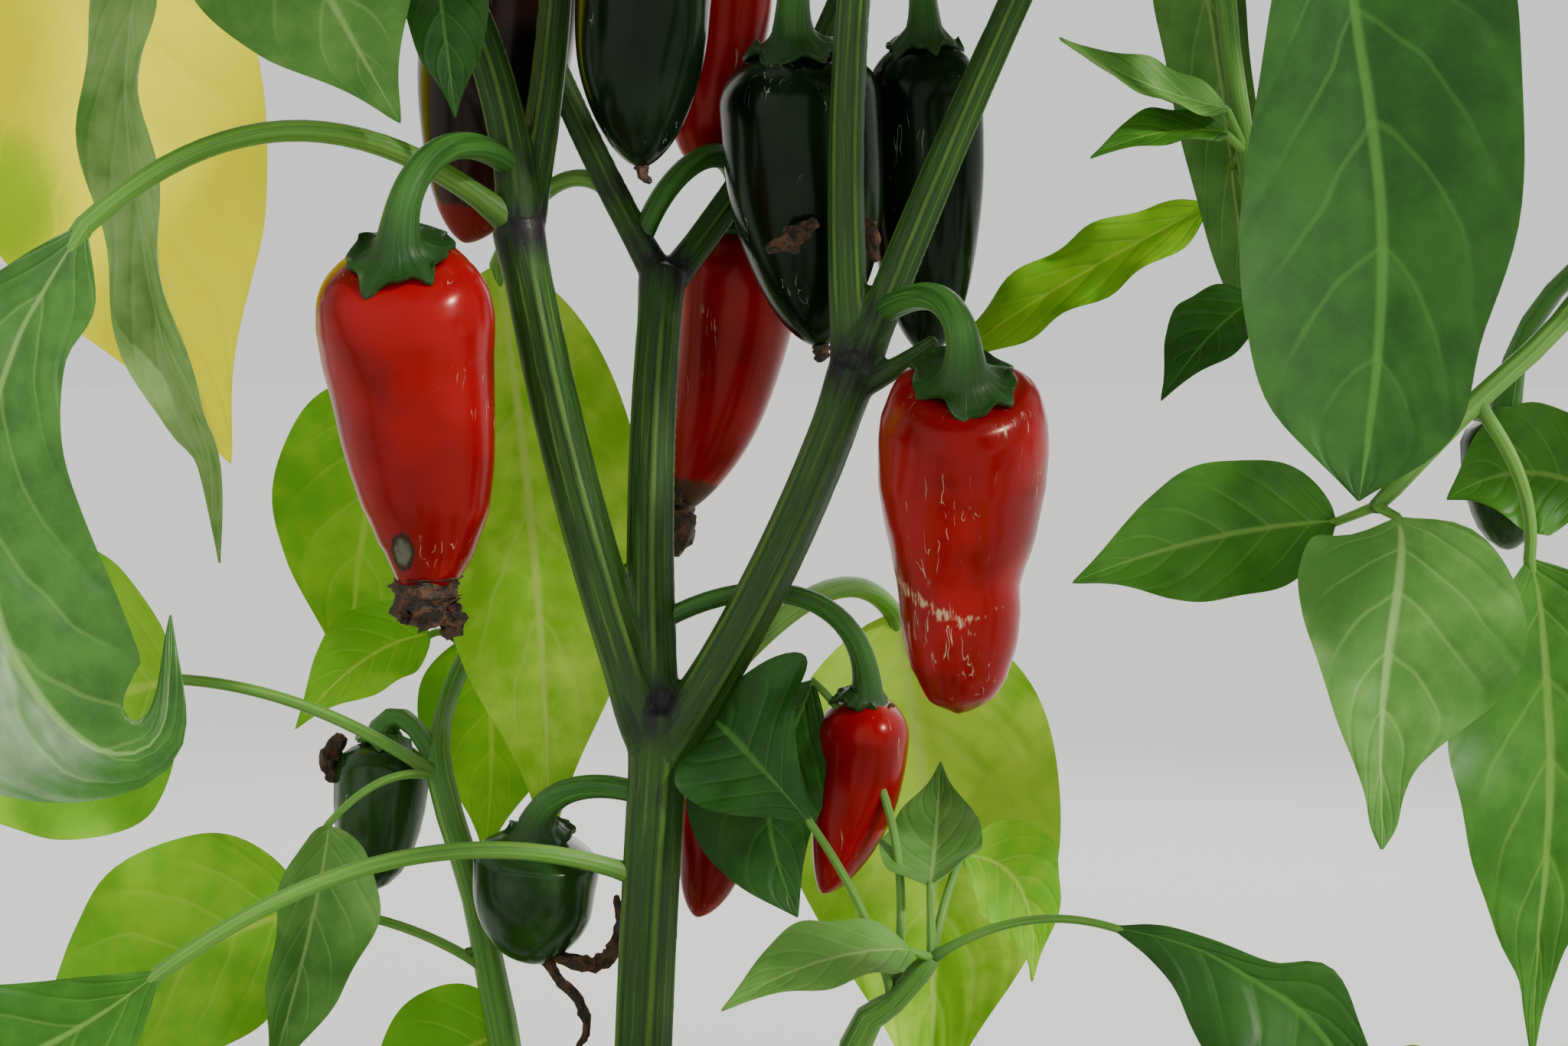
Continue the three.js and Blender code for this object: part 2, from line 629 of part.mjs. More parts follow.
        droop: at(-3, 0, 0), width: 15, fold: 0.3, face: at(-0.6, -0.8, 0),
      },
    ],
    fruits: [],
    shoots: [],
    seed: 83,
  },
};

/** The upper masses: the bough that each grows on from, and the way that it sets out. */
const CROWN_MASSES = {
  left_crown_mass: { bough: 'left_outer_bough', heading: 185, rise: 30, vigour: 4, seed: 127 },
  front_left_crown_mass: { bough: 'left_inner_bough', heading: 245, rise: 40, vigour: 4, seed: 127 },
  front_right_crown_mass: { bough: 'right_upright_bough', heading: 300, rise: 40, vigour: 4, seed: 145 },
  right_crown_mass: { bough: 'right_outer_bough', heading: 5, rise: 35, vigour: 4, seed: 143 },
  back_right_crown_mass: { bough: 'middle_right_bough', heading: 60, rise: 40, vigour: 4, seed: 159 },
  back_left_crown_mass: { bough: 'middle_left_bough', heading: 122, rise: 40, vigour: 4, seed: 165 },
};

/** The middles of the spaces of the masses: a point belongs to the mass whose middle is nearest. */
const SPACES = {
  left_crown_mass: at(-118, 6, 500),
  front_left_crown_mass: at(-44, -104, 505),
  front_right_crown_mass: at(72, -106, 505),
  right_crown_mass: at(138, 2, 505),
  back_right_crown_mass: at(74, 112, 500),
  back_left_crown_mass: at(-50, 112, 500),
  left_low_mass: at(-84, 16, 150),
  right_low_mass: at(92, -30, 150),
  back_low_mass: at(16, 112, 140),
  front_low_mass: at(-16, -104, 100),
  right_outer_mass: at(205, -60, 300),
  right_hanging_mass: at(112, 20, 330),
};

/** A seeded run of numbers from 0 up to 1. */
function seeded(seed) {
  let state = seed;
  return () => {
    state = (state * 48271) % 2147483647;
    return state / 2147483647;
  };
}

/** Whether a point lies in the crown, in a mass's own space and out of the open window. */
function inSpace(point, name) {
  const reach = point.clone().sub(CROWN_CENTRE).divide(CROWN_REACH);
  if (point.z > CROWN_CENTRE.z && reach.length() > 1) return false;
  if (point.z <= CROWN_CENTRE.z && Math.hypot(reach.x, reach.y) > 1) return false;
  if (point.z < LOWEST_LEAF || inWindow(point)) return false;
  const home = SPACES[name];
  return Object.entries(SPACES).every(([other, middle]) => {
    if (other === name) return true;
    const across = middle.clone().sub(home);
    const halfWay = across.length() / 2;
    return point.clone().sub(home).dot(across.normalize()) < halfWay - SPACE_MARGIN;
  });
}

/** Whether a point lies in the open window. */
function inWindow(point) {
  const away = point.clone().sub(WINDOW_POINT);
  const ahead = away.y * Math.cos(WINDOW_DIP) - away.z * Math.sin(WINDOW_DIP);
  const rise = away.y * Math.sin(WINDOW_DIP) + away.z * Math.cos(WINDOW_DIP);
  return Math.abs(away.x) < WINDOW_HALF_WIDTH * ahead && Math.abs(rise) < WINDOW_HALF_HEIGHT * ahead;
}

/** The distance from a point to the nearest part of a straight piece. */
function distanceTo(point, piece) {
  const line = piece.end.clone().sub(piece.start);
  const t = THREE.MathUtils.clamp(point.clone().sub(piece.start).dot(line) / line.lengthSq(), 0, 1);
  return point.distanceTo(piece.start.clone().addScaledVector(line, t)) - piece.radius;
}

/** The straight pieces that a path with radii is made of. */
function pieces(path, radii) {
  return path.slice(1).map((end, i) => {
    return { start: path[i], end, radius: Math.max(radii[i], radii[i + 1]) };
  });
}

/** The half widths of a leaf along its midrib, for keeping other leaves off it. */
function leafReach(leaf) {
  return [1, 1, ...even(4).slice(1).map((t) => Math.max(1, 0.5 * leaf.width * bladeOutline(t)))];
}

/** Everything that rule-grown leaves keep clear of. */
const OBSTACLES = [
  ...Object.entries(LIMBS).flatMap(([name, { radii }]) => {
    return pieces(limbPath(name), taper(...radii, LIMB_STEPS));
  }),
  ...Object.values(FRUITS).flatMap((fruit) => pieces(fruitPath(fruit), fruitRadii(fruit))),
  ...Object.values(LEAVES).flatMap((leaf) => pieces(leafPath(leaf, 1, 4), leafReach(leaf))),
];

const SAMPLE_SHARES = [-0.9, 0, 0.9];

/** Points spread over the blade of a leaf. */
function bladeSamples(leaf) {
  const blade = arc(leaf.base, leaf.tip, leaf.droop, even(5));
  const frames = framesAlong(blade, leaf.face);
  return blade.flatMap((point, i) => {
    const half = (leaf.width / 2) * bladeOutline(i / 5);
    return SAMPLE_SHARES.map((share) => point.clone().addScaledVector(frames[i].side, share * half));
  });
}

/** Whether a leaf keeps to its space, clear of the limbs, twigs, pods and leaves that are there. */
function leafFits(leaf, mass) {
  const petiole = leaf.base.clone().lerp(leaf.root, PETIOLE_CHECK);
  const farFrom = (point, things, gap) => things.every((piece) => distanceTo(point, piece) > gap);
  return inSpace(petiole, mass.name) && farFrom(petiole, mass.around, LIMB_CLEARANCE)
    && bladeSamples(leaf).every((point) => (
      inSpace(point, mass.name) && farFrom(point, mass.around, LIMB_CLEARANCE)
      && farFrom(point, mass.inside, LEAF_CLEARANCE)
    ));
}

/** A leaf drawn by the rule: it sets out along the heading, rises on its petiole and hangs from there. */
function drawLeaf(site, turn, draw) {
  const way = site.heading + turn + LEAF_TURN * (draw() - 0.5);
  const rise = PETIOLE_RISE.least + PETIOLE_RISE.range * draw();
  const hang = -BLADE_HANG.least - BLADE_HANG.range * draw();
  const length = site.size * (BLADE_LENGTH + BLADE_SPREAD * (draw() - 0.5));
  const roll = radians(LEAF_ROLL * (draw() - 0.5));
  const base = site.root.clone().addScaledVector(direction(way, rise), PETIOLE_PROPORTION * length);
  const tip = base.clone().addScaledVector(direction(way, hang), length);
  const square = direction(way, hang + 90);
  const side = direction(way - 90, 0);
  return {
    root: site.root, base, tip, width: BLADE_PROPORTION * length, fold: 0,
    lift: at(0, 0, PETIOLE_ARCH * length), droop: at(0, 0, BLADE_ARCH * length),
    face: square.multiplyScalar(Math.cos(roll)).addScaledVector(side, Math.sin(roll)),
  };
}

/** Puts on the first of a few drawn leaves that fits. */
function addLeaf(mass, site) {
  for (let i = 0; i < LEAF_TRIES; i += 1) {
    const leaf = drawLeaf(site, (360 * i) / LEAF_TRIES, mass.draw);
    if (leafFits(leaf, mass)) {
      const reach = leafReach(leaf).map((radius) => OWN_LEAF_SHARE * radius);
      mass.leaves.push(leaf);
      mass.inside.push(...pieces(leafPath(leaf, 1, 4), reach).slice(1));
      return;
    }
  }
}

/** The straight pieces of a pod, without its stalk. */
function podPieces(fruit) {
  return pieces(fruitPath(fruit), fruitRadii(fruit)).slice(STALK_STEPS);
}

/** Hangs a pod from a twig where it has room. */
function addFruit(mass, site) {
  const size = POD_SIZE.least + POD_SIZE.range * mass.draw();
  const way = site.heading + POD_TURN * (mass.draw() - 0.5);
  const crown = site.root.clone().addScaledVector(direction(way, -STALK_FALL), STALK_LENGTH);
  const tip = crown.clone().addScaledVector(direction(way, -POD_FALL), POD_LENGTH * size);
  const fruit = {
    root: site.root, crown, tip, arch: at(0, 0, STALK_ARCH), swing: at(0, 0, 0),
    radius: POD_RADIUS * size, blunt: POD_BLUNT,
  };
  const things = [...mass.around, ...mass.inside];
  const room = podPieces(fruit).every(({ end, radius }) => (
    inSpace(end, mass.name) && things.every((near) => distanceTo(end, near) > radius + POD_ROOM)
  ));
  if (!room) return;
  mass.fruits.push(fruit);
  mass.inside.push(...podPieces(fruit));
}

/** Notes the places for a leaf and perhaps a pod near the end of a new length of twig. */
function noteSites(mass, start, end, heading, hand, vigour) {
  const back = (share) => end.clone().lerp(start, share);
  mass.leafSites.push({ root: back(0.1), heading: heading + hand * 90, size: 0.8 + 0.06 * vigour });
  if (mass.draw() < POD_CHANCE && vigour > 1) {
    mass.fruitSites.push({ root: back(0.2), heading: heading - hand * LEAF_TURN });
  }
  if (vigour > 1) return;
  for (let i = 0; i < TIP_LEAVES; i += 1) {
    mass.leafSites.push({ root: back(0.04 + 0.1 * i), heading: heading + 180 * i + 40, size: LEAF_SIZE });
  }
}

/** Grows a twig by one length, and on from there while it has vigour, with a weaker twig beside it. */
function grow(mass, twig, heading, rise, vigour) {
  const start = twig.points.at(-1);
  const longest = SHOOT_LENGTH + SHOOT_LENGTH_PER_VIGOUR * vigour;
  const length = longest * (1 + LENGTH_CHANGE * (mass.draw() - 0.5));
  const hand = mass.draw() < 0.5 ? -1 : 1;
  const end = start.clone().addScaledVector(direction(heading, rise), length);
  if (!inSpace(end, mass.name) || mass.around.some((piece) => distanceTo(end, piece) < LIMB_CLEARANCE)) {
    mass.leafSites.push({ root: start, heading, size: LEAF_SIZE });
    return;
  }
  twig.points.push(end);
  twig.radii.push(twig.radii.at(-1) * TWIG_TAPER);
  noteSites(mass, start, end, heading, hand, vigour);
  if (vigour < 2) return;
  grow(mass, twig, heading + hand * STRONG_TURN, rise + 10 * (mass.draw() - 0.3), vigour - 1);
  if (vigour < 3) return;
  const side = newTwig(mass, end, SIDE_TWIG);
  grow(mass, side, heading - hand * WEAK_TURN, rise + 22 * (mass.draw() - 0.5), vigour - 2);
}

/** A new twig of a mass that starts at a point, and so far has no length. */
function newTwig(mass, start, share) {
  const twig = { points: [start], radii: [TWIG_RADIUS * share] };
  mass.twigs.push(twig);
  return twig;
}

/** Dresses the twigs with pods and leaves and fuses all into one body, cut clear of its limbs. */
function massSolid(mass, on) {
  const twigs = mass.twigs.filter((twig) => twig.points.length > 1);
  mass.inside.push(...twigs.flatMap((twig) => pieces(twig.points, twig.radii)));
  mass.fruitSites.forEach((site) => addFruit(mass, site));
  mass.leafSites.forEach((site) => addLeaf(mass, site));
  const bodies = [
    ...twigs.map((twig) => limb(sunk(twig.points), twig.radii, 3)),
    ...mass.leaves.map((leaf) => leafSolid(leaf, 1, leaf.fold > 0 ? 4 : 3)),
    ...mass.fruits.map((fruit) => fruitSolid(fruit, 5)),
  ];
  return clearOf(fuse(bodies).simplify(SMALLEST_EDGE), on);
}

/** An empty mass with its seeded run. */
function newMass(name, seed) {
  return {
    name, draw: seeded(seed), twigs: [], leaves: [], fruits: [], leafSites: [], fruitSites: [],
    around: OBSTACLES, inside: [],
  };
}

const CROWN_STEM = { length: 10, swell: 1.1 };

/** A mass of the upper crown, grown on from the tip of its bough. */
function crownMass(name) {
  const { bough, heading, rise, vigour, seed } = CROWN_MASSES[name];
  const mass = newMass(name, seed);
  const tip = LIMBS[bough].end;
  const joint = tip.clone().addScaledVector(direction(heading, rise), CROWN_STEM.length);
  const stem = newTwig(mass, tip, CROWN_STEM.swell);
  stem.points.push(joint);
  stem.radii.push(TWIG_RADIUS);
  mass.around = OBSTACLES.filter((piece) => !piece.end.equals(tip));
  grow(mass, stem, heading + STRONG_TURN, rise + FIRST_TURN, vigour);
  grow(mass, newTwig(mass, joint, SIDE_TWIG), heading - STRONG_TURN, rise - FIRST_TURN, vigour - 1);
  grow(mass, newTwig(mass, joint, SIDE_TWIG), heading, rise + SPREAD_RISE, vigour);
  return massSolid(mass, [bough]);
}

/** The joints of a spray's stem, with two to each of its arcs, and the radius at each. */
function sprayStem(stem) {
  const points = [stem[0].start];
  const radii = [stem[0].radius];
  stem.forEach((piece) => {
    points.push(...arc(piece.start, piece.end, piece.bow, [0.5, 1]));
    radii.push(piece.radius, piece.radius);
  });
  return { points, radii };
}

/** A mass at the edge of the window, with its listed leaves and pods and what grows on by the rule. */
function sprayMass(name) {
  const spray = SPRAYS[name];
  const mass = newMass(name, spray.seed);
  const stem = sprayStem(spray.stem);
  const onStem = (joint) => {
    const [below, above] = [stem.points[Math.floor(joint)], stem.points[Math.ceil(joint)]];
    return below.clone().lerp(above, joint % 1);
  };
  const rooted = (piece) => ({ ...piece, root: onStem(piece.joint) });
  mass.twigs.push(stem);
  mass.leaves.push(...spray.leaves.map(rooted));
  mass.fruits.push(...spray.fruits.map(rooted));
  mass.inside.push(
    ...mass.leaves.flatMap((leaf) => pieces(leafPath(leaf, 1, 4), leafReach(leaf)).slice(1)),
    ...mass.fruits.flatMap(podPieces),
  );
  spray.shoots.forEach(({ joint, heading, vigour }) => {
    grow(mass, newTwig(mass, onStem(joint), SIDE_TWIG), heading, FIRST_TURN, vigour);
  });
  return massSolid(mass, spray.on);
}

/** A named mesh of a solid in a colour. */
function part(name, body, colour, roughness) {
  const mesh = body.getMesh();
  const geometry = new THREE.BufferGeometry();
  geometry.setAttribute('position', new THREE.BufferAttribute(new Float32Array(mesh.vertProperties), 3));
  geometry.setIndex(new THREE.BufferAttribute(new Uint32Array(mesh.triVerts), 1));
  geometry.computeVertexNormals();
  const material = new THREE.MeshStandardMaterial({ color: colour, roughness, metalness: 0 });
  const piece = new THREE.Mesh(geometry, material);
  piece.name = name;
  return piece;
}

const STEM_GREEN = '#3f6a25';
const LEAF_GREEN = '#3c7a22';
const MASS_GREEN = '#356f20';

const plant = new THREE.Group();
Object.keys(LIMBS).forEach((name) => {
  plant.add(part(name, clearOf(limbSolid(name), LIMBS[name].cuts), STEM_GREEN, 0.6));
});
Object.entries(FRUITS).forEach(([name, fruit]) => {
  plant.add(part(name, clearOf(fruitSolid(fruit, 7), fruit.on), fruit.colour, 0.25));
});
Object.entries(LEAVES).forEach(([name, leaf]) => {
  plant.add(part(name, clearOf(leafSolid(leaf, 3, 5), leaf.on), LEAF_GREEN, 0.5));
});
Object.keys(SPRAYS).forEach((name) => plant.add(part(name, sprayMass(name), MASS_GREEN, 0.5)));
Object.keys(CROWN_MASSES).forEach((name) => plant.add(part(name, crownMass(name), MASS_GREEN, 0.5)));

export default plant;
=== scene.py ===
"""A chilli pepper plant in fruit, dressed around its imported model.

The stems are one skin with ribs and dark joints, each pod and each leaf of the open window is a piece
of its own, and the masses of foliage grow by the same seeded rule as the model's, on to finer twigs.
Shapes are worked out in millimetres, in the model's frame: the front faces -Y and up is +Z.
"""

import logging
import math
from dataclasses import dataclass, replace
from enum import Enum

import bmesh
import bpy
import numpy as np
from bpy.types import Material, Mesh, Node, NodeSocket, NodeTree, Object
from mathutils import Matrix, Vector


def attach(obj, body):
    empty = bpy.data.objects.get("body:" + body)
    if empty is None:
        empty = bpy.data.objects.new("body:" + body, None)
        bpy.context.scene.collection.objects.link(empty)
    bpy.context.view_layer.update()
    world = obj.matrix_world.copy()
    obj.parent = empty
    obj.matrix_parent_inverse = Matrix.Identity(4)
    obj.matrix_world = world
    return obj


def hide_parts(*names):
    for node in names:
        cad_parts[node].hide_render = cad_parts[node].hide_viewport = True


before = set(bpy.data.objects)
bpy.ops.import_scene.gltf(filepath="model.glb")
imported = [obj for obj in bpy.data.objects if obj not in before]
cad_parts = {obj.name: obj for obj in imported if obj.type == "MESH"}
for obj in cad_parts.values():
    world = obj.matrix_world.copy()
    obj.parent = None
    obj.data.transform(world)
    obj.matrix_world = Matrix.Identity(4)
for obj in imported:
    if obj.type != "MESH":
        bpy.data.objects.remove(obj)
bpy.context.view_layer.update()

log = logging.getLogger("chilli_pepper_plant")
Vec = np.ndarray
MM = 0.001


def at(x: float, y: float, z: float) -> Vec:
    """A point or vector in millimetres."""
    return np.array([x, y, z], dtype=float)


def up(z: float) -> Vec:
    """A vector straight up in millimetres."""
    return at(0, 0, z)


# Driving dimensions, the same as the model's
FORK = at(4, 0, 231)
LEFT_FORK = at(-22, 6, 320)
MIDDLE_FORK = at(4, 22, 312)
RIGHT_FORK = at(39.7, -8, 294.5)
STEM_RADIUS = 5.5
LIMB_STEPS = 5
BLADE_BELLY = 0.7
BLADE_FULLNESS = 0.85
STALK_RADIUS = 2.3
STALK_SWELL = 0.45
STALK_STEPS = 3
POD_SHOULDER = 0.2
SHOULDER_DROP = 0.8
POD_FULLNESS = 0.62
POD_STATIONS = (0, 0.05, 0.2, 0.45, 0.7, 0.88, 1)
TWIG_RADIUS = 2.6
TWIG_TAPER = 0.88

# The crown's dome and the open window in front of and behind the forks
CROWN_CENTRE = at(10, 5, 470)
CROWN_REACH = at(245, 225, 255)
LOWEST_LEAF = 30
SPACE_MARGIN = 1.0
LIMB_CLEARANCE = 5
LEAF_CLEARANCE = 1
PETIOLE_CHECK = 0.4
WINDOW_POINT = at(27, -558.6, 305)
WINDOW_DIP = math.radians(4)
WINDOW_HALF_WIDTH = 0.268
WINDOW_HALF_HEIGHT = 0.181

# How a shoot grows: sizes in millimetres, angles in degrees
SHOOT_LENGTH = 46
SHOOT_LENGTH_PER_VIGOUR = 7
STRONG_TURN = 26
WEAK_TURN = 52
FIRST_TURN = 12
SPREAD_RISE = 38
LENGTH_CHANGE = 0.3
SIDE_TWIG = 0.9
LEAF_TRIES = 8
LEAF_TURN = 60
LEAF_ROLL = 50
LEAF_SIZE = 0.9
TIP_LEAVES = 2
PETIOLE_RISE = (5, 45)
BLADE_HANG = (5, 55)
BLADE_ARCH = 0.1
PETIOLE_ARCH = 0.06
BLADE_LENGTH = 74
BLADE_SPREAD = 30
BLADE_PROPORTION = 0.52
PETIOLE_PROPORTION = 0.5
OWN_LEAF_SHARE = 0.9
POD_CHANCE = 0.6
POD_LENGTH = 46
POD_RADIUS = 12.5
POD_BLUNT = 1.2
POD_SIZE = (0.75, 0.45)
POD_TURN = 120
POD_ROOM = 2
STALK_LENGTH = 24
STALK_FALL = 12
STALK_ARCH = 6
POD_FALL = 82
CROWN_STEM_LENGTH = 10
CROWN_STEM_SWELL = 1.1

# How the finer twigs of the scene grow on from the rule's
FINE_SHARES = (0.22, 0.46, 0.7, 0.9)
FINE_LENGTH = (13, 15)
FINE_RADIUS = 1.0
FINE_SIZE = (0.36, 0.3)
FINE_TRIES = 4
FINE_TURN = 65
FINE_FAN = (0, 75, -75)
FINE_SPREAD = 50
FINE_RISE = (10, 30)
YOUNG_LEAVES = 3
YOUNG_SIZE = (0.3, 0.12)
YOUNG_TRIES = 2
LOW_SPACE = 400


class Skin(Enum):
    """The finish of a pod."""

    RED = "red_pod"
    MAROON_POD = "maroon_pod"
    DARK_GREEN_POD = "dark_pod"


class Tone(Enum):
    """The colour that a leaf takes from its spray: partly its own, and partly painted light, the bright tone
    standing for light shining through the leaf and the deep tone for shade.
    """

    DEEP = "deep"
    MID = "mid"
    BRIGHT = "bright"
    PALE = "pale"


@dataclass(frozen=True)
class Limb:
    """A stem or bough: an arc with a radius at either end."""

    start: Vec
    end: Vec
    bow: Vec
    radii: tuple[float, float]


@dataclass(frozen=True)
class Fruit:
    """A pod on its stalk, hanging from the point root, or from a joint of a spray's stem."""

    root: Vec | None
    crown: Vec
    tip: Vec
    arch: Vec
    swing: Vec
    radius: float
    blunt: float
    skin: Skin = Skin.DARK_GREEN_POD
    waist: float = 1.0
    joint: float = 0.0


@dataclass(frozen=True)
class Lie:
    """How a blade lies: angles in degrees, heights as shares of the half width, quilting in millimetres."""

    cup: float = 14.0
    wave: float = 0.1
    waves: float = 2.5
    phase: float = 0.0
    twist: float = 0.0
    quilt: float = 0.5
    bend: float = 0.0


@dataclass(frozen=True)
class Leaf:
    """A leaf: its petiole from root to base, and its blade from base to tip, facing the way of face.

    The root of a spray's listed leaf is the number of a joint of its stem. A traced leaf has a rib: rows
    of a point of its midrib and its half widths to either side.
    """

    root: Vec | float
    base: Vec
    tip: Vec
    lift: Vec
    droop: Vec
    width: float
    fold: float
    face: Vec
    tone: Tone = Tone.MID
    lie: Lie = Lie()
    rib: tuple[tuple[float, ...], ...] = ()
    stout: float = 1.0


@dataclass(frozen=True)
class Stem:
    """One arc of a spray's stem."""

    start: Vec
    end: Vec
    bow: Vec
    radius: float


@dataclass(frozen=True)
class Spray:
    """A mass at the edge of the window: its seed, its stem, its listed leaves and pods, and its shoots.

    A shoot is the joint of the stem that it leaves, its compass heading and its vigour.
    """

    seed: int
    stem: tuple[Stem, ...]
    leaves: tuple[Leaf, ...]
    fruits: tuple[Fruit, ...] = ()
    shoots: tuple[tuple[float, float, int], ...] = ()


@dataclass(frozen=True)
class CrownMass:
    """A mass of the upper crown: its bough, its first heading and rise, its vigour and its seed."""

    bough: str
    heading: float
    rise: float
    vigour: int
    seed: int


def unit(vector: Vec) -> Vec:
    """The vector at length 1."""
    return vector / np.linalg.norm(vector)


def arc(start: Vec, end: Vec, bow: Vec, stations: Vec | tuple | list) -> Vec:
    """Points at the given stations of an arc whose middle bows out of the straight line by a vector."""
    t = np.asarray(stations, dtype=float)[:, None]
    return start * (1 - t) + end * t + bow * (4 * t * (1 - t))


def even(steps: int) -> Vec:
    """The given number of equal stations from 0 to 1."""
    return np.arange(steps + 1) / steps


def direction(heading: float, rise: float) -> Vec:
    """The unit vector with the given compass heading from +X and rise above level, in degrees."""
    h, r = math.radians(heading), math.radians(rise)
    return at(math.cos(r) * math.cos(h), math.cos(r) * math.sin(h), math.sin(r))


def smoothstep(low: float, high: float, x: Vec | float) -> Vec | float:
    """0 below low, 1 above high and a smooth rise between them."""
    t = np.clip((np.asarray(x) - low) / (high - low), 0, 1)
    return t * t * (3 - 2 * t)


def frames_along(path: Vec, hint: Vec) -> tuple[Vec, Vec]:
    """Side and up vectors at every station of a path, carried back from its end.

    Args:
        path: The stations of the path.
        hint: The way that up points at the end, as nearly as the path lets it.

    Returns:
        The side vectors and the up vectors.
    """
    last = len(path) - 1
    sides, ups = np.empty_like(path), np.empty_like(path)
    for i in range(last, -1, -1):
        along = unit(path[min(i + 1, last)] - path[max(i - 1, 0)])
        sides[i] = unit(np.cross(hint, along))
        ups[i] = np.cross(along, sides[i])
        hint = ups[i]
    return sides, ups


def level_hint(path: Vec) -> Vec:
    """A level vector square to the end of a path."""
    hint = np.cross(path[-1] - path[-2], up(1))
    steep = np.linalg.norm(hint) <= 0.12 * np.linalg.norm(path[-1] - path[-2])
    return at(0, 1, 0) if steep else unit(hint)


def on_limb(name: str, share: float) -> Vec:
    """A point on a limb at a share of its length."""
    limb = LIMBS[name]
    return arc(limb.start, limb.end, limb.bow, [share])[0]


LIMBS = {
    "main_stem": Limb(up(0), FORK, at(-3, 0, 0), (STEM_RADIUS, 5.3)),
    "left_bough": Limb(at(2.6, 0, 226), LEFT_FORK, at(-2.2, 0, 0), (4.8, 4.4)),
    "right_bough": Limb(at(3.6, 0, 222), RIGHT_FORK, at(2.2, 0, -2), (4.7, 4.2)),
    "middle_bough": Limb(at(3.4, 1, 228), MIDDLE_FORK, at(-1.6, -4, 0), (4.5, 4.1)),
    "left_outer_bough": Limb(at(-22, 6, 318), at(-72, 0, 418), at(12.7, 1, 0), (3.9, 2.6)),
    "left_inner_bough": Limb(at(-21.5, 6, 317), at(-14, -30, 432), at(3.7, 18.7, 0), (3.5, 2.4)),
    "middle_left_bough": Limb(at(4, 22, 310), at(-40, 75, 420), at(-4.8, -12, 0), (2.9, 2.1)),
    "middle_right_bough": Limb(at(4, 22, 309), at(50, 72, 425), at(11.6, 3.6, 0), (3, 2.2)),
    "right_upright_bough": Limb(at(39.5, -8, 292), at(50, -38, 430), at(-5.4, 12.5, 0), (3.6, 2.4)),
    "right_outer_bough": Limb(at(39.5, -8, 292), at(92, 0, 408), at(-1, -2, 2), (3.5, 2.4)),
}

FRUITS = {
    "left_red_pod": Fruit(
        on_limb("left_outer_bough", 0.13), at(-40.3, -14, 318), at(-37.4, -14, 249), at(-1, -6, 9),
        at(1.2, 0, 0), 16.2, 1.05, Skin.RED),
    "right_red_pod": Fruit(
        on_limb("right_outer_bough", 0.1), at(58, -22, 296), at(54.8, -22, 234.5), at(3, -6, 7),
        at(1.6, 0, 0), 15.6, 1.5, Skin.RED, waist=0.94),
    "upper_left_pod": Fruit(
        on_limb("middle_left_bough", 0.7), at(-28, 37, 377), at(-35, 35, 318), at(0, -2, 4), at(2, 0, 0),
        15.4, 1.2, Skin.MAROON_POD),
    "upper_middle_pod": Fruit(
        on_limb("left_inner_bough", 0.6), at(3.4, 2, 378), at(1, 3, 331), at(2, 0, 5), at(-1, 0, 0), 12.4,
        1.4),
    "upper_red_pod": Fruit(
        on_limb("middle_right_bough", 0.66), at(14.5, 44, 378), at(10, 42, 332.5), up(5), at(1, 0, 0), 11,
        1.2, Skin.RED),
    "middle_dark_pod": Fruit(
        on_limb("right_upright_bough", 0.64), at(29, 17, 355), at(34, 17, 298), at(-3, 2, 5), at(-0.5, 0, 0),
        15.4, 1.2),
    "right_dark_pod": Fruit(
        on_limb("middle_right_bough", 0.66), at(54, 37, 358), at(55, 35, 296), at(2, -3, 5), up(0), 11.4,
        1.5),
    "middle_red_pod": Fruit(
        on_limb("middle_left_bough", 0.07), at(18, 51, 323), at(4.6, 50, 264), at(0, -7, 12), at(4, 0, 0),
        12, 1, Skin.RED),
    "lower_red_pod": Fruit(
        on_limb("middle_bough", 0.22), at(42, 11, 233), at(34.2, 9, 195.5), at(4, 0, 12), at(2.5, 0, 0), 8.6,
        1.1, Skin.RED),
    "hidden_red_pod": Fruit(
        on_limb("main_stem", 0.94), at(15, 26, 214), at(10, 24, 188), at(0, 3, 4), at(1, 0, 0), 7.5, 1.1,
        Skin.RED),
    "round_green_pod": Fruit(
        on_limb("main_stem", 0.93), at(-19.5, 15, 206), at(-19, 14, 181), at(0, 2, 4), at(-1, 0, 0), 12,
        1.5),
}

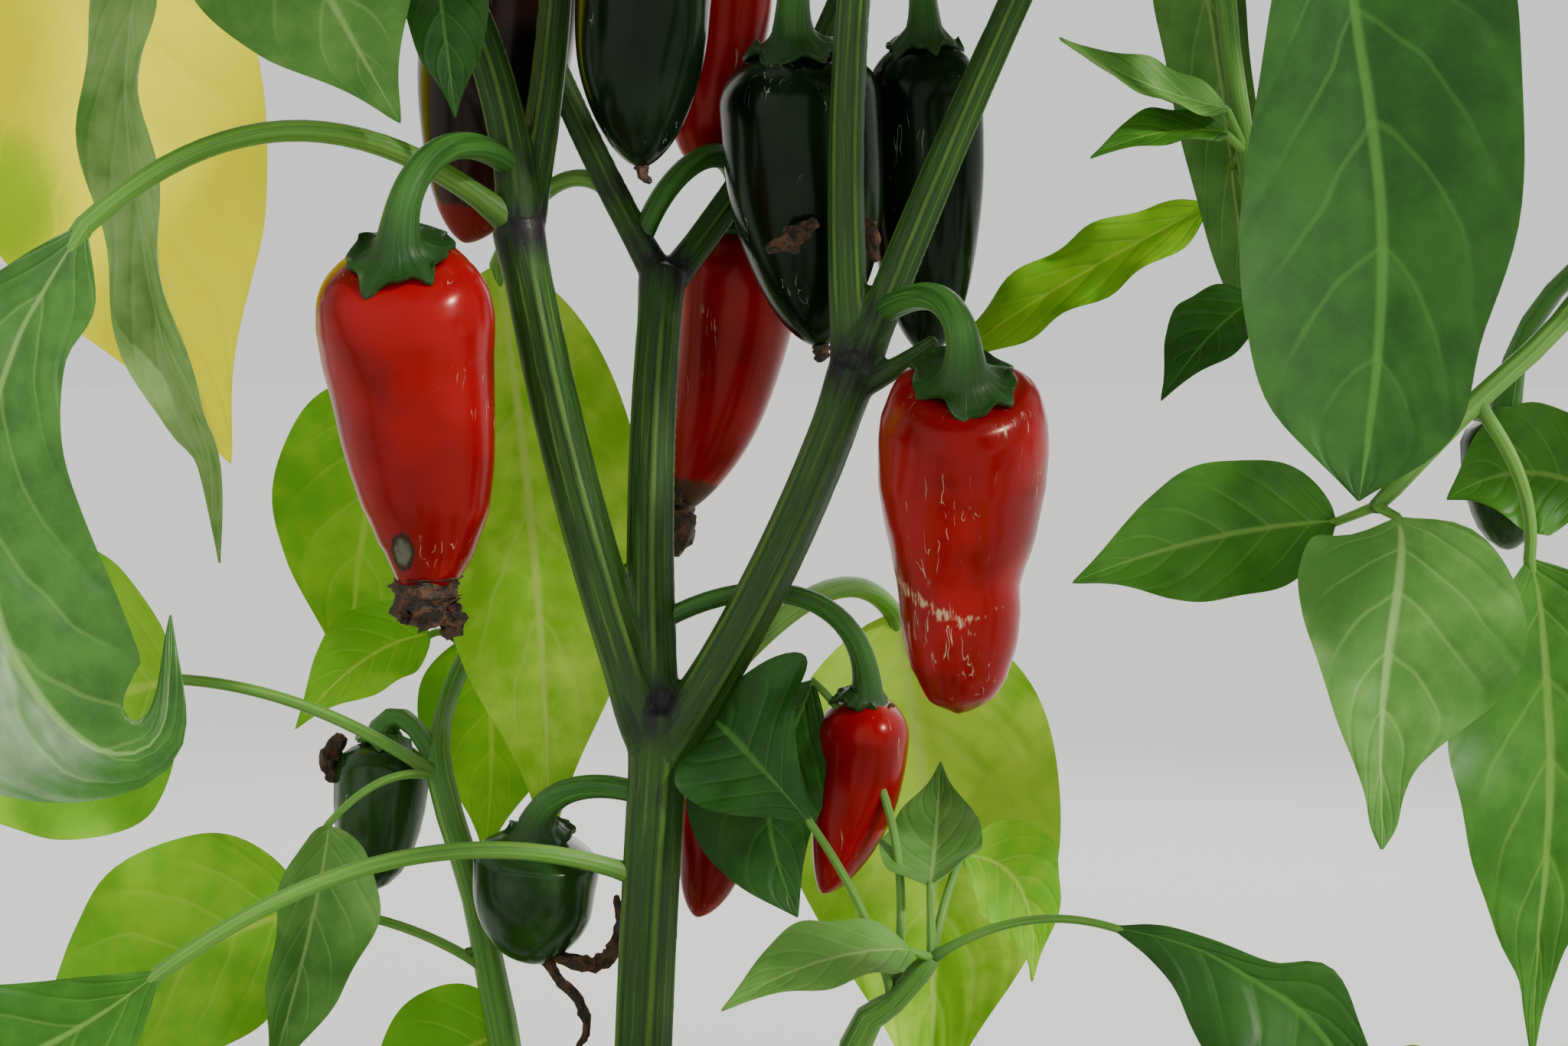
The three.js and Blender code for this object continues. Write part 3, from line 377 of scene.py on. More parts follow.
LEAVES = {
    "left_arching_leaf": Leaf(
        LEFT_FORK, at(-108, -38, 300), at(-79, -46, 254), at(-1, 0, 27), at(-14, -4, -34), 50, 0.25,
        at(0.75, -0.6, 0.3)),
    "left_hanging_leaf": Leaf(
        on_limb("left_outer_bough", 0.62), at(-88, 8, 370), at(-77, 2, 258.5), up(8), at(-18, 0, 4), 30, 0.9,
        at(-0.5, 0.8, 0)),
    "upper_left_leaf": Leaf(
        on_limb("left_outer_bough", 0.8), at(-66, -22, 388), at(-41, -14, 338), up(3), at(-2, 0, 2), 42,
        0.12, at(-0.2, -1, 0.3)),
    "small_upper_leaf": Leaf(
        on_limb("left_outer_bough", 0.5), at(-36, -8, 372), at(-31.5, -12, 339), up(1), up(0), 17, 0.3,
        at(0.3, -1, 0.2)),
    "yellow_leaf": Leaf(
        on_limb("middle_left_bough", 0.9), at(-124, 70, 392), at(-88, 75, 273), up(8), at(-4, -2, 4), 68,
        0.12, at(0.1, -1, 0.2)),
    "lower_left_leaf": Leaf(
        at(3.9, 0, 199), at(-78, -24, 196), at(-128, -38, 150), up(13), up(8), 50, 0.15,
        at(-0.1, -0.75, 0.65)),
    "back_right_leaf": Leaf(
        on_limb("right_bough", 0.12), at(49, 56, 244), at(56, 47, 140), at(4, 0, 13), at(4, 0, 4), 58, 0.12,
        at(-0.2, -1, 0.1)),
    "back_left_leaf": Leaf(
        on_limb("middle_left_bough", 0.16), at(-29, 38, 314), at(-20, 46, 197), up(8), at(2, 2, 0), 44, 0.12,
        at(0.2, -1, 0.1)),
}

SPRAYS = {
    "left_low_mass": Spray(33, (
        Stem(at(1, 0, 118), at(-28, 24, 168), at(-6, 2, -8), 3.2),
        Stem(at(-28, 24, 168), at(-39.3, 25, 214.9), at(1, 0, 0), 2.7),
        Stem(at(-39.3, 25, 214.9), at(-37, 53, 236), at(-2, 0, 0), 2),
    ), (
        Leaf(4, at(-108, 22, 236), at(-160, 26, 190), up(4), up(12), 46, 0, at(0.1, -0.5, 0.8)),
        Leaf(4, at(-61.5, 12, 204), at(-71, 2, 156), up(4), at(2, 0, 4), 24, 0.3, at(0.7, -0.7, 0.1),
             Tone.PALE),
        Leaf(2.4, at(-62, 28, 193), at(-106, 34, 146), up(3), up(6), 40, 0.1, at(-0.2, -1, 0.4),
             Tone.BRIGHT),
        Leaf(6, at(-44, 50, 240), at(-70, 42, 222), up(2), up(4), 20, 0.2, at(-0.1, -0.8, 0.5), Tone.BRIGHT),
        Leaf(6, at(-36, 68, 239), at(-35, 67, 192), up(2), at(2, 0, 3), 30, 0.1, at(0, -1, 0.1),
             Tone.BRIGHT),
        Leaf(6, at(-50, 70, 290), at(-63, 72, 226), at(-8, 0, 4), at(-3, 0, 4), 40, 0.1, at(-0.1, -1, 0.1),
             Tone.BRIGHT),
    ), (
        Fruit(None, at(-52, 38, 220), at(-55.5, 37, 190.5), at(0, 2, 6), at(1, 0, 0), 9.4, 1.4, joint=4),
    ), (
        (2, 165, 2), (1, 200, 3),
    )),
    "right_low_mass": Spray(37, (
        Stem(at(2, 0, 104), at(40, -8, 170.5), at(8, -2, -10), 3),
        Stem(at(40, -8, 170.5), at(53.8, -12, 187.7), up(0), 2.2),
    ), (
        Leaf(4, at(53.7, -9, 200.5), at(57, 20, 219), up(0), up(-4), 20, 0.25, at(0, 0.35, 0.8), Tone.PALE),
        Leaf(4, at(60, 0, 204.5), at(74.3, 16, 177), up(2), at(4, 0, 6), 20, 0.1, at(0.4, -0.7, 0.6),
             Tone.BRIGHT),
        Leaf(4, at(50, -17, 190), at(16, -36, 183.5), up(0), up(3), 19, 0.1, at(0, -0.45, 0.9), Tone.PALE),
        Leaf(4, at(87.5, -18, 194), at(124, -30, 160), up(4), at(4, 0, 3), 32, 0.2, at(0.35, -0.5, 0.8),
             Tone.DEEP),
        # Painted shade: this leaf hangs in shadow, so it takes the deep tone.
        Leaf(3, at(17, 6, 224), at(30, -4, 194), at(7, 2, 4), at(-2, 0, 0), 26, 0.15, at(-0.3, -1, 0.1),
             Tone.DEEP),
        Leaf(3, at(32.2, -14, 212.6), at(15.5, 8, 231), at(2, 0, 0), up(-2), 32, 0.2, at(-0.6, -0.75, 0.3)),
    ), (), (
        (2, -25, 2), (1, -30, 3),
    )),
    "back_low_mass": Spray(97, (
        Stem(at(1, 0, 62), at(6, 60, 98), at(0, 6, -6), 3.2),
        Stem(at(6, 60, 98), at(14, 104, 108), up(0), 2.4),
    ), (), (), (
        (2, 150, 3), (4, 100, 3), (3, 30, 3),
    )),
    "front_low_mass": Spray(77, (
        Stem(at(1, 0, 76), at(-6, -58, 112), at(0, -4, -6), 2.8),
    ), (), (), (
        (2, 235, 3), (2, 300, 2),
    )),
    "right_outer_mass": Spray(91, (
        Stem(on_limb("right_outer_bough", 0.9), at(176, -44, 380), at(6, 0, 18), 2.6),
        Stem(at(176, -44, 380), at(165, -50, 317), at(9, 0, 4), 2.2),
        Stem(at(165, -50, 317), at(140, -60, 290), at(2, 0, -1), 1.9),
        Stem(at(140, -60, 290), at(122.5, -68, 273.5), up(0), 1.6),
    ), (
        Leaf(8, at(117.6, -60, 274), at(75.2, -50, 263), up(0), up(2), 25, 0.1, at(0, -0.85, 0.5)),
        Leaf(8, at(123, -73, 272), at(121.5, -88, 221), up(0), at(0, -7, 4), 37, 0.1, at(0, -0.9, 0.4),
             Tone.PALE),
        Leaf(6, at(144, -60, 264), at(150, -64, 184), at(3, 0, 0), at(-3, -4, 0), 44, 0.1, at(0.1, -1, 0.2),
             Tone.BRIGHT),
        Leaf(4, at(164, -44, 276), at(139.5, -44, 277), at(3, 2, 0), up(4), 20, 0.1, at(0, -0.9, 0.4)),
        Leaf(3, at(116, -92, 368), at(115, -101, 277), up(10), at(0, -6, 0), 45, 0.1, at(0, -1, 0.1)),
    ), (
        Fruit(None, at(154.8, -19, 286), at(155.3, -20, 262.5), at(-2, 0, 3), up(0), 8, 1.4, joint=4),
    ), (
        (2, -15, 2), (3.5, 10, 3),
    )),
    "right_hanging_mass": Spray(83, (
        Stem(on_limb("right_outer_bough", 0.78), at(106, 6, 372), at(2, 2, 5), 2.2),
        Stem(at(106, 6, 372), at(112, 6, 334), up(0), 1.9),
        Stem(at(112, 6, 334), at(115.5, 10, 310), up(0), 1.6),
    ), (
        Leaf(4, at(107.5, 0, 341.5), at(76, -10, 353.5), up(0), up(-2), 13, 0.2, at(0.2, -0.6, 0.8)),
        Leaf(4, at(107.5, 0, 337), at(81.5, -12, 332), up(0), up(2), 12, 0.2, at(0, -0.6, 0.8)),
        Leaf(4, at(110, 24, 328), at(60, 46, 292), up(2), up(5), 26, 0.1, at(-0.2, -0.8, 0.6), Tone.BRIGHT),
        Leaf(6, at(114.5, 8, 307), at(95.5, -4, 288.5), up(0), up(2), 17, 0.2, at(-0.4, -0.8, 0.4),
             Tone.DEEP),
        Leaf(2, at(105, 16, 371), at(109.5, 14, 300), up(2), at(-3, 0, 0), 15, 0.3, at(-0.6, -0.8, 0),
             Tone.PALE),
    )),
}

CROWN_MASSES = {
    "left_crown_mass": CrownMass("left_outer_bough", 185, 30, 4, 127),
    "front_left_crown_mass": CrownMass("left_inner_bough", 245, 40, 4, 127),
    "front_right_crown_mass": CrownMass("right_upright_bough", 300, 40, 4, 145),
    "right_crown_mass": CrownMass("right_outer_bough", 5, 35, 4, 143),
    "back_right_crown_mass": CrownMass("middle_right_bough", 60, 40, 4, 159),
    "back_left_crown_mass": CrownMass("middle_left_bough", 122, 40, 4, 165),
}

SPACES = {
    "left_crown_mass": at(-118, 6, 500),
    "front_left_crown_mass": at(-44, -104, 505),
    "front_right_crown_mass": at(72, -106, 505),
    "right_crown_mass": at(138, 2, 505),
    "back_right_crown_mass": at(74, 112, 500),
    "back_left_crown_mass": at(-50, 112, 500),
    "left_low_mass": at(-84, 16, 150),
    "right_low_mass": at(92, -30, 150),
    "back_low_mass": at(16, 112, 140),
    "front_low_mass": at(-16, -104, 100),
    "right_outer_mass": at(205, -60, 300),
    "right_hanging_mass": at(112, 20, 330),
}


def limb_path(name: str) -> Vec:
    """The stations of a limb, as the model has them."""
    limb = LIMBS[name]
    return arc(limb.start, limb.end, limb.bow, even(LIMB_STEPS))


def taper(limb: Limb, steps: int) -> Vec:
    """The radii of a limb, tapering evenly."""
    return limb.radii[0] + (limb.radii[1] - limb.radii[0]) * even(steps)


def blade_outline(t: Vec | float) -> Vec | float:
    """The half width of the model's blade as a share of its widest half."""
    return np.clip(np.sin(np.pi * np.asarray(t) ** BLADE_BELLY), 0, 1) ** BLADE_FULLNESS


def pod_outline(t: Vec | float, blunt: float) -> Vec:
    """The radius of a pod as a share of its widest, from its shoulder at 0 to its tip at 1."""
    t = np.clip(t, 0, 1)
    shoulder = np.sqrt(1 - SHOULDER_DROP * (1 - np.minimum(t / POD_SHOULDER, 1)) ** 2)
    along = np.clip((t - POD_SHOULDER) / (1 - POD_SHOULDER), 0, 1)
    return np.where(t < POD_SHOULDER, shoulder, (1 - along ** (2 * blunt)) ** POD_FULLNESS)


def fruit_path(fruit: Fruit) -> Vec:
    """The line of a fruit: its stalk down to the crown of the pod, and the pod down to its tip."""
    stalk = arc(fruit.root, fruit.crown, fruit.arch, even(STALK_STEPS))
    return np.vstack([stalk, arc(fruit.crown, fruit.tip, fruit.swing, POD_STATIONS)[1:]])


def fruit_radii(fruit: Fruit) -> Vec:
    """The radius of a fruit at each station of its line."""
    stalk = STALK_RADIUS * (1 + STALK_SWELL * even(STALK_STEPS) ** 3)
    pod = fruit.radius * pod_outline(POD_STATIONS[1:], fruit.blunt)
    pod[-1] = 0
    pod[3] *= fruit.waist
    return np.concatenate([stalk, pod])


def leaf_path(leaf: Leaf) -> Vec:
    """The midrib of a leaf in few steps: its petiole and then its blade."""
    return np.vstack([leaf.root, arc(leaf.base, leaf.tip, leaf.droop, even(4))])


def leaf_reach(leaf: Leaf) -> Vec:
    """The half widths of a leaf along its midrib, for keeping other leaves off it."""
    return np.concatenate([[1, 1], np.maximum(1, 0.5 * leaf.width * blade_outline(even(4)[1:]))])


class Room:
    """The straight round pieces that leaves and twigs keep clear of."""

    def __init__(self) -> None:
        """Starts empty."""
        self.starts, self.ends = np.zeros((0, 3)), np.zeros((0, 3))
        self.radii = np.zeros(0)

    def add(self, path: Vec, radii: Vec, skip: int = 0) -> None:
        """Adds the pieces of a path with radii, but for the first few."""
        self.starts = np.vstack([self.starts, path[skip:-1]])
        self.ends = np.vstack([self.ends, path[skip + 1:]])
        wider = np.maximum(radii[skip:-1], radii[skip + 1:])
        self.radii = np.concatenate([self.radii, wider])

    def without_end(self, point: Vec) -> "Room":
        """The same pieces but for those that end at a point."""
        keep = np.abs(self.ends - point).max(axis=1) > 0
        other = Room()
        other.starts, other.ends, other.radii = self.starts[keep], self.ends[keep], self.radii[keep]
        return other

    def gaps(self, points: Vec) -> Vec:
        """The distance from each of the points to the nearest piece."""
        if not len(self.radii):
            return np.full(len(points), 1e9)
        line = self.ends - self.starts
        away = points[:, None] - self.starts[None]
        share = np.clip((away * line).sum(-1) / np.maximum((line * line).sum(-1), 1e-12), 0, 1)
        return (np.linalg.norm(away - share[..., None] * line, axis=-1) - self.radii).min(axis=1)


def obstacles() -> Room:
    """The limbs, pods and leaves of the window, which the masses keep clear of."""
    room = Room()
    for name, limb in LIMBS.items():
        room.add(limb_path(name), taper(limb, LIMB_STEPS))
    for fruit in FRUITS.values():
        room.add(fruit_path(fruit), fruit_radii(fruit))
    for leaf in LEAVES.values():
        room.add(leaf_path(leaf), leaf_reach(leaf))
    return room


@dataclass
class Twig:
    """A twig as its joints and the radius at each, with the tone that its leaves take."""

    points: list[Vec]
    radii: list[float]
    tone: Tone = Tone.MID


@dataclass(frozen=True)
class Site:
    """A place for a leaf or a pod on a twig."""

    root: Vec
    heading: float
    size: float = 1.0
    twig: Twig | None = None


class Mass:
    """A mass of foliage in its own space, grown by a seeded rule from one stem."""

    def __init__(self, name: str, seed: int, around: Room) -> None:
        """Makes an empty mass.

        Args:
            name: The name of the model's node.
            seed: The seed of the rule.
            around: The limbs, pods and leaves outside the mass.
        """
        self.name, self.state, self.around = name, seed, around
        self.inside = Room()
        self.twigs: list[Twig] = []
        self.leaves: list[Leaf] = []
        self.fruits: list[Fruit] = []
        self.leaf_sites: list[Site] = []
        self.fruit_sites: list[Site] = []

    def draw(self) -> float:
        """The next number of the seeded run, from 0 up to 1."""
        self.state = self.state * 48271 % 2147483647
        return self.state / 2147483647

    def in_space(self, points: Vec) -> bool:
        """Whether all of the points lie in the crown, in the mass's space and out of the window."""
        points = np.atleast_2d(points)
        reach = (points - CROWN_CENTRE) / CROWN_REACH
        high = points[:, 2] > CROWN_CENTRE[2]
        out = np.where(high, np.linalg.norm(reach, axis=1), np.hypot(reach[:, 0], reach[:, 1])) > 1
        if (out | (points[:, 2] < LOWEST_LEAF)).any():
            return False
        away = points - WINDOW_POINT
        ahead = away[:, 1] * math.cos(WINDOW_DIP) - away[:, 2] * math.sin(WINDOW_DIP)
        rise = away[:, 1] * math.sin(WINDOW_DIP) + away[:, 2] * math.cos(WINDOW_DIP)
        wide = np.abs(away[:, 0]) < WINDOW_HALF_WIDTH * ahead
        if (wide & (np.abs(rise) < WINDOW_HALF_HEIGHT * ahead)).any():
            return False
        home = SPACES[self.name]
        for name, middle in SPACES.items():
            across = middle - home
            length = np.linalg.norm(across)
            if length and ((points - home) @ (across / length) >= length / 2 - SPACE_MARGIN).any():
                return False
        return True

    def new_twig(self, start: Vec, share: float) -> Twig:
        """A new twig that starts at a point and so far has no length."""
        twig = Twig([start], [TWIG_RADIUS * share])
        self.twigs.append(twig)
        return twig

    def grow(self, twig: Twig, heading: float, rise: float, vigour: int) -> None:
        """Grows a twig by one length, and on while it has vigour, with a weaker twig beside it."""
        start = twig.points[-1]
        longest = SHOOT_LENGTH + SHOOT_LENGTH_PER_VIGOUR * vigour
        length = longest * (1 + LENGTH_CHANGE * (self.draw() - 0.5))
        hand = -1 if self.draw() < 0.5 else 1
        end = start + direction(heading, rise) * length
        if not self.in_space(end) or self.around.gaps(end[None])[0] < LIMB_CLEARANCE:
            self.leaf_sites.append(Site(start, heading, LEAF_SIZE, twig))
            return
        twig.points.append(end)
        twig.radii.append(twig.radii[-1] * TWIG_TAPER)
        self.note_sites(twig, start, end, heading, hand, vigour)
        if vigour < 2:
            return
        self.grow(twig, heading + hand * STRONG_TURN, rise + 10 * (self.draw() - 0.3), vigour - 1)
        if vigour < 3:
            return
        side = self.new_twig(end, SIDE_TWIG)
        self.grow(side, heading - hand * WEAK_TURN, rise + 22 * (self.draw() - 0.5), vigour - 2)

    def note_sites(self, twig: Twig, start: Vec, end: Vec, heading: float, hand: int, vigour: int) -> None:
        """Notes the places for a leaf and perhaps a pod near the end of a new length of twig."""
        beside = Site(end + 0.1 * (start - end), heading + hand * 90, 0.8 + 0.06 * vigour, twig)
        self.leaf_sites.append(beside)
        if self.draw() < POD_CHANCE and vigour > 1:
            self.fruit_sites.append(Site(end + 0.2 * (start - end), heading - hand * LEAF_TURN))
        if vigour > 1:
            return
        for i in range(TIP_LEAVES):
            root = end + (0.04 + 0.1 * i) * (start - end)
            self.leaf_sites.append(Site(root, heading + 180 * i + 40, LEAF_SIZE, twig))

    def drawn_leaf(self, site: Site, turn: float) -> Leaf:
        """A leaf that sets out along the heading, rises on its petiole and hangs from there."""
        way = site.heading + turn + LEAF_TURN * (self.draw() - 0.5)
        rise = PETIOLE_RISE[0] + PETIOLE_RISE[1] * self.draw()
        hang = -BLADE_HANG[0] - BLADE_HANG[1] * self.draw()
        length = site.size * (BLADE_LENGTH + BLADE_SPREAD * (self.draw() - 0.5))
        roll = math.radians(LEAF_ROLL * (self.draw() - 0.5))
        base = site.root + direction(way, rise) * (PETIOLE_PROPORTION * length)
        square, side = direction(way, hang + 90), direction(way - 90, 0)
        face = square * math.cos(roll) + side * math.sin(roll)
        return Leaf(site.root, base, base + direction(way, hang) * length, up(PETIOLE_ARCH * length),
                    up(BLADE_ARCH * length), BLADE_PROPORTION * length, 0, face)

    def leaf_fits(self, leaf: Leaf) -> bool:
        """Whether a leaf keeps to the mass's space, clear of what is there."""
        petiole = leaf.base + PETIOLE_CHECK * (leaf.root - leaf.base)
        blade = arc(leaf.base, leaf.tip, leaf.droop, even(5))
        sides, _ = frames_along(blade, leaf.face)
        half = (leaf.width / 2) * blade_outline(even(5))
        points = blade[:, None] + sides[:, None] * (half[:, None] * at(-0.9, 0, 0.9))[..., None]
        points = points.reshape(-1, 3)
        everywhere = np.vstack([petiole, points])
        return (self.in_space(everywhere) and self.around.gaps(everywhere).min() > LIMB_CLEARANCE
                and self.inside.gaps(points).min() > LEAF_CLEARANCE)

    def add_leaf(self, site: Site, tries: int = LEAF_TRIES) -> None:
        """Puts on the first of a few drawn leaves that fits."""
        for i in range(tries):
            leaf = self.drawn_leaf(site, 360 * i / tries)
            if self.leaf_fits(leaf):
                tone = site.twig.tone if site.twig else Tone.MID
                self.leaves.append(replace(leaf, tone=tone))
                self.inside.add(leaf_path(leaf), OWN_LEAF_SHARE * leaf_reach(leaf), skip=1)
                return

    def add_fruit(self, site: Site) -> None:
        """Hangs a pod from a twig where it has room."""
        size = POD_SIZE[0] + POD_SIZE[1] * self.draw()
        way = site.heading + POD_TURN * (self.draw() - 0.5)
        crown = site.root + direction(way, -STALK_FALL) * STALK_LENGTH
        tip = crown + direction(way, -POD_FALL) * (POD_LENGTH * size)
        fruit = Fruit(site.root, crown, tip, up(STALK_ARCH), up(0), POD_RADIUS * size, POD_BLUNT)
        path, radii = fruit_path(fruit)[STALK_STEPS:], fruit_radii(fruit)[STALK_STEPS:]
        ends, wide = path[1:], np.maximum(radii[:-1], radii[1:])
        room = np.minimum(self.around.gaps(ends), self.inside.gaps(ends)) > wide + POD_ROOM
        if not (room.all() and self.in_space(ends)):
            return
        self.fruits.append(fruit)
        self.inside.add(path, radii)

    def dress(self) -> None:
        """Puts the pods and leaves on the twigs, and then the finer twigs with smaller leaves."""
        self.twigs = [twig for twig in self.twigs if len(twig.points) > 1]
        for twig in self.twigs:
            self.inside.add(np.array(twig.points), np.array(twig.radii))
        for site in self.fruit_sites:
            self.add_fruit(site)
        self.deal_tones()
        for site in self.leaf_sites:
            self.add_leaf(site)
        for twig in list(self.twigs):
            self.add_finer(twig)

    def deal_tones(self) -> None:
        """Deals a tone to every twig, brighter low down, where the light comes through from behind."""
        tones = [Tone.MID, Tone.DEEP, Tone.MID, Tone.BRIGHT, Tone.MID, Tone.PALE]
        if SPACES[self.name][2] < LOW_SPACE:
            tones = [Tone.BRIGHT, Tone.MID, Tone.BRIGHT, Tone.PALE]
        for k, twig in enumerate(self.twigs):
            twig.tone = tones[(k + len(self.name)) % len(tones)]

    def add_finer(self, twig: Twig) -> None:
        """Grows short side twigs with small leaves from each length of a twig, and young tip leaves."""
        for below, above in zip(twig.points[:-1], twig.points[1:]):
            way = math.degrees(math.atan2(above[1] - below[1], above[0] - below[0]))
            for k, share in enumerate(FINE_SHARES):
                start = below + share * (above - below)
                heading = way + (FINE_TURN if k else -FINE_TURN) + FINE_SPREAD * (self.draw() - 0.5)
                length = FINE_LENGTH[0] + FINE_LENGTH[1] * self.draw()
                end = start + direction(heading, FINE_RISE[0] + FINE_RISE[1] * self.draw()) * length
                size = FINE_SIZE[0] + FINE_SIZE[1] * self.draw()
                if not self.in_space(end) or self.around.gaps(end[None])[0] < LIMB_CLEARANCE:
                    continue
                count = len(self.leaves)
                for j, fan in enumerate(FINE_FAN):
                    root = start + (1 - 0.25 * j) * (end - start)
                    self.add_leaf(Site(root, heading + fan, size * (1 - 0.1 * j), twig), FINE_TRIES)
                if len(self.leaves) > count:
                    self.twigs.append(Twig([start, end], [FINE_RADIUS * 1.2, FINE_RADIUS * 0.8], twig.tone))
        tip = twig.points[-1]
        for j in range(YOUNG_LEAVES):
            heading, size = 120 * j + 90 * self.draw(), YOUNG_SIZE[0] + YOUNG_SIZE[1] * self.draw()
            self.add_leaf(Site(tip, heading, size, Twig([], [], Tone.PALE)), YOUNG_TRIES)


class CrownGrowth(Mass):
    """A mass of the upper crown, grown on from the tip of its bough."""

    def __init__(self, name: str, around: Room) -> None:
        """Grows and dresses the mass.

        Args:
            name: The name of the model's node.
            around: The limbs, pods and leaves of the window.
        """
        plan = CROWN_MASSES[name]
        tip = LIMBS[plan.bough].end
        super().__init__(name, plan.seed, around.without_end(tip))
        joint = tip + direction(plan.heading, plan.rise) * CROWN_STEM_LENGTH
        stem = self.new_twig(tip, CROWN_STEM_SWELL)
        stem.points.append(joint)
        stem.radii.append(TWIG_RADIUS)
        heading, rise = plan.heading, plan.rise
        self.grow(stem, heading + STRONG_TURN, rise + FIRST_TURN, plan.vigour)
        self.grow(self.new_twig(joint, SIDE_TWIG), heading - STRONG_TURN, rise - FIRST_TURN, plan.vigour - 1)
        self.grow(self.new_twig(joint, SIDE_TWIG), heading, rise + SPREAD_RISE, plan.vigour)
        self.dress()


class SprayGrowth(Mass):
    """A mass at the edge of the window, with its listed leaves and pods and what grows on by the rule."""

    def __init__(self, name: str, around: Room) -> None:
        """Grows and dresses the mass.

        Args:
            name: The name of the model's node.
            around: The limbs, pods and leaves of the window.
        """
        plan = SPRAYS[name]
        super().__init__(name, plan.seed, around)
        points, radii = [plan.stem[0].start], [plan.stem[0].radius]
        for piece in plan.stem:
            points += list(arc(piece.start, piece.end, piece.bow, [0.5, 1]))
            radii += [piece.radius, piece.radius]
        self.twigs.append(Twig(points, radii))
        self.joints = points
        self.listed = [replace(leaf, root=self.on_stem(leaf.root)) for leaf in plan.leaves]
        self.fruits = [replace(fruit, root=self.on_stem(fruit.joint)) for fruit in plan.fruits]
        for leaf in self.listed:
            self.inside.add(leaf_path(leaf), leaf_reach(leaf), skip=1)
        for fruit in self.fruits:
            self.inside.add(fruit_path(fruit)[STALK_STEPS:], fruit_radii(fruit)[STALK_STEPS:])
        for joint, heading, vigour in plan.shoots:
            self.grow(self.new_twig(self.on_stem(joint), SIDE_TWIG), heading, FIRST_TURN, vigour)
        self.dress()

    def on_stem(self, joint: float) -> Vec:
        """A point on the spray's stem, by the number of its joint and the share past it."""
        below, above = self.joints[math.floor(joint)], self.joints[math.ceil(joint)]
        return below + (joint % 1) * (above - below)


def new_object(name: str, mesh: Mesh) -> Object:
    """A new object of a mesh in the scene, at the origin."""
    piece = bpy.data.objects.new(name, mesh)
    bpy.context.scene.collection.objects.link(piece)
    return piece


def dressed(mesh: Mesh, materials: list[Material], nodes: list[str]) -> None:
    """Makes a finished piece of the plant, which rides on its one body.

    Args:
        mesh: Its finished mesh, named as the piece.
        materials: Its materials, in the order of the mesh's material numbers.
        nodes: The model's nodes that it stands for.
    """
    for material in materials:
        mesh.materials.append(material)
    piece = new_object(mesh.name, mesh)
    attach(piece, "root")
    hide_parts(*nodes)
    log.info("%s: %d faces", mesh.name, len(mesh.polygons))


def smooth(mesh: Mesh, crease: float) -> None:
    """Smooth shading, but for edges sharper than an angle in degrees."""
    mesh.shade_smooth()
    mesh.set_sharp_from_angle(angle=math.radians(crease))


class Shells:
    """Closed shells gathered from arrays into one joined mesh."""

    def __init__(self) -> None:
        """Starts empty."""
        self.points: list[Vec] = []
        self.faces: list[list[int]] = []
        self.uvs: list[Vec] = []
        self.count = 0

    def add(self, rings: Vec, first: Vec, last: Vec) -> None:
        """Adds one shell.

        Args:
            rings: Rings of points, anticlockwise seen from the end that they run to.
            first: The point that closes the start.
            last: The point that closes the end.
        """
        n, m = rings.shape[:2]
        ring = self.count + 1 + np.arange(n * m).reshape(n, m)
        after = np.roll(ring, -1, axis=1)
        u, v = np.arange(m) / m, np.arange(n + 2) / (n + 1)
        quads = np.stack([ring[:-1], after[:-1], after[1:], ring[1:]], axis=-1).reshape(-1, 4)
        start = np.stack([np.full(m, self.count), after[0], ring[0]], axis=-1)
        end = np.stack([np.full(m, self.count + n * m + 1), ring[-1], after[-1]], axis=-1)
        uu, vv = np.broadcast_to(u, (n - 1, m)), np.broadcast_to(v[1:n, None], (n - 1, m))
        below = np.broadcast_to(v[2:n + 1, None], (n - 1, m))
        quad_uv = np.stack([uu, vv, uu + 1 / m, vv, uu + 1 / m, below, uu, below], axis=-1)
        zero, one = np.zeros(m), np.ones(m)
        start_uv = np.stack([u + 0.5 / m, zero, u + 1 / m, v[1] * one, u, v[1] * one], axis=-1)
        end_uv = np.stack([u + 0.5 / m, one, u, v[n] * one, u + 1 / m, v[n] * one], axis=-1)
        self.faces += quads.tolist() + start.tolist() + end.tolist()
        self.uvs += [quad_uv.ravel(), start_uv.ravel(), end_uv.ravel()]
        self.points += [first[None], rings.reshape(-1, 3), last[None]]
        self.count += n * m + 2

    def mesh(self, name: str, crease: float) -> Mesh:
        """The joined mesh, smooth but for edges sharper than the crease."""
        mesh = bpy.data.meshes.new(name)
        mesh.from_pydata((np.vstack(self.points) * MM).tolist(), [], self.faces)
        mesh.uv_layers.new(name="surface").data.foreach_set("uv", np.concatenate(self.uvs))
        smooth(mesh, crease)
        return mesh


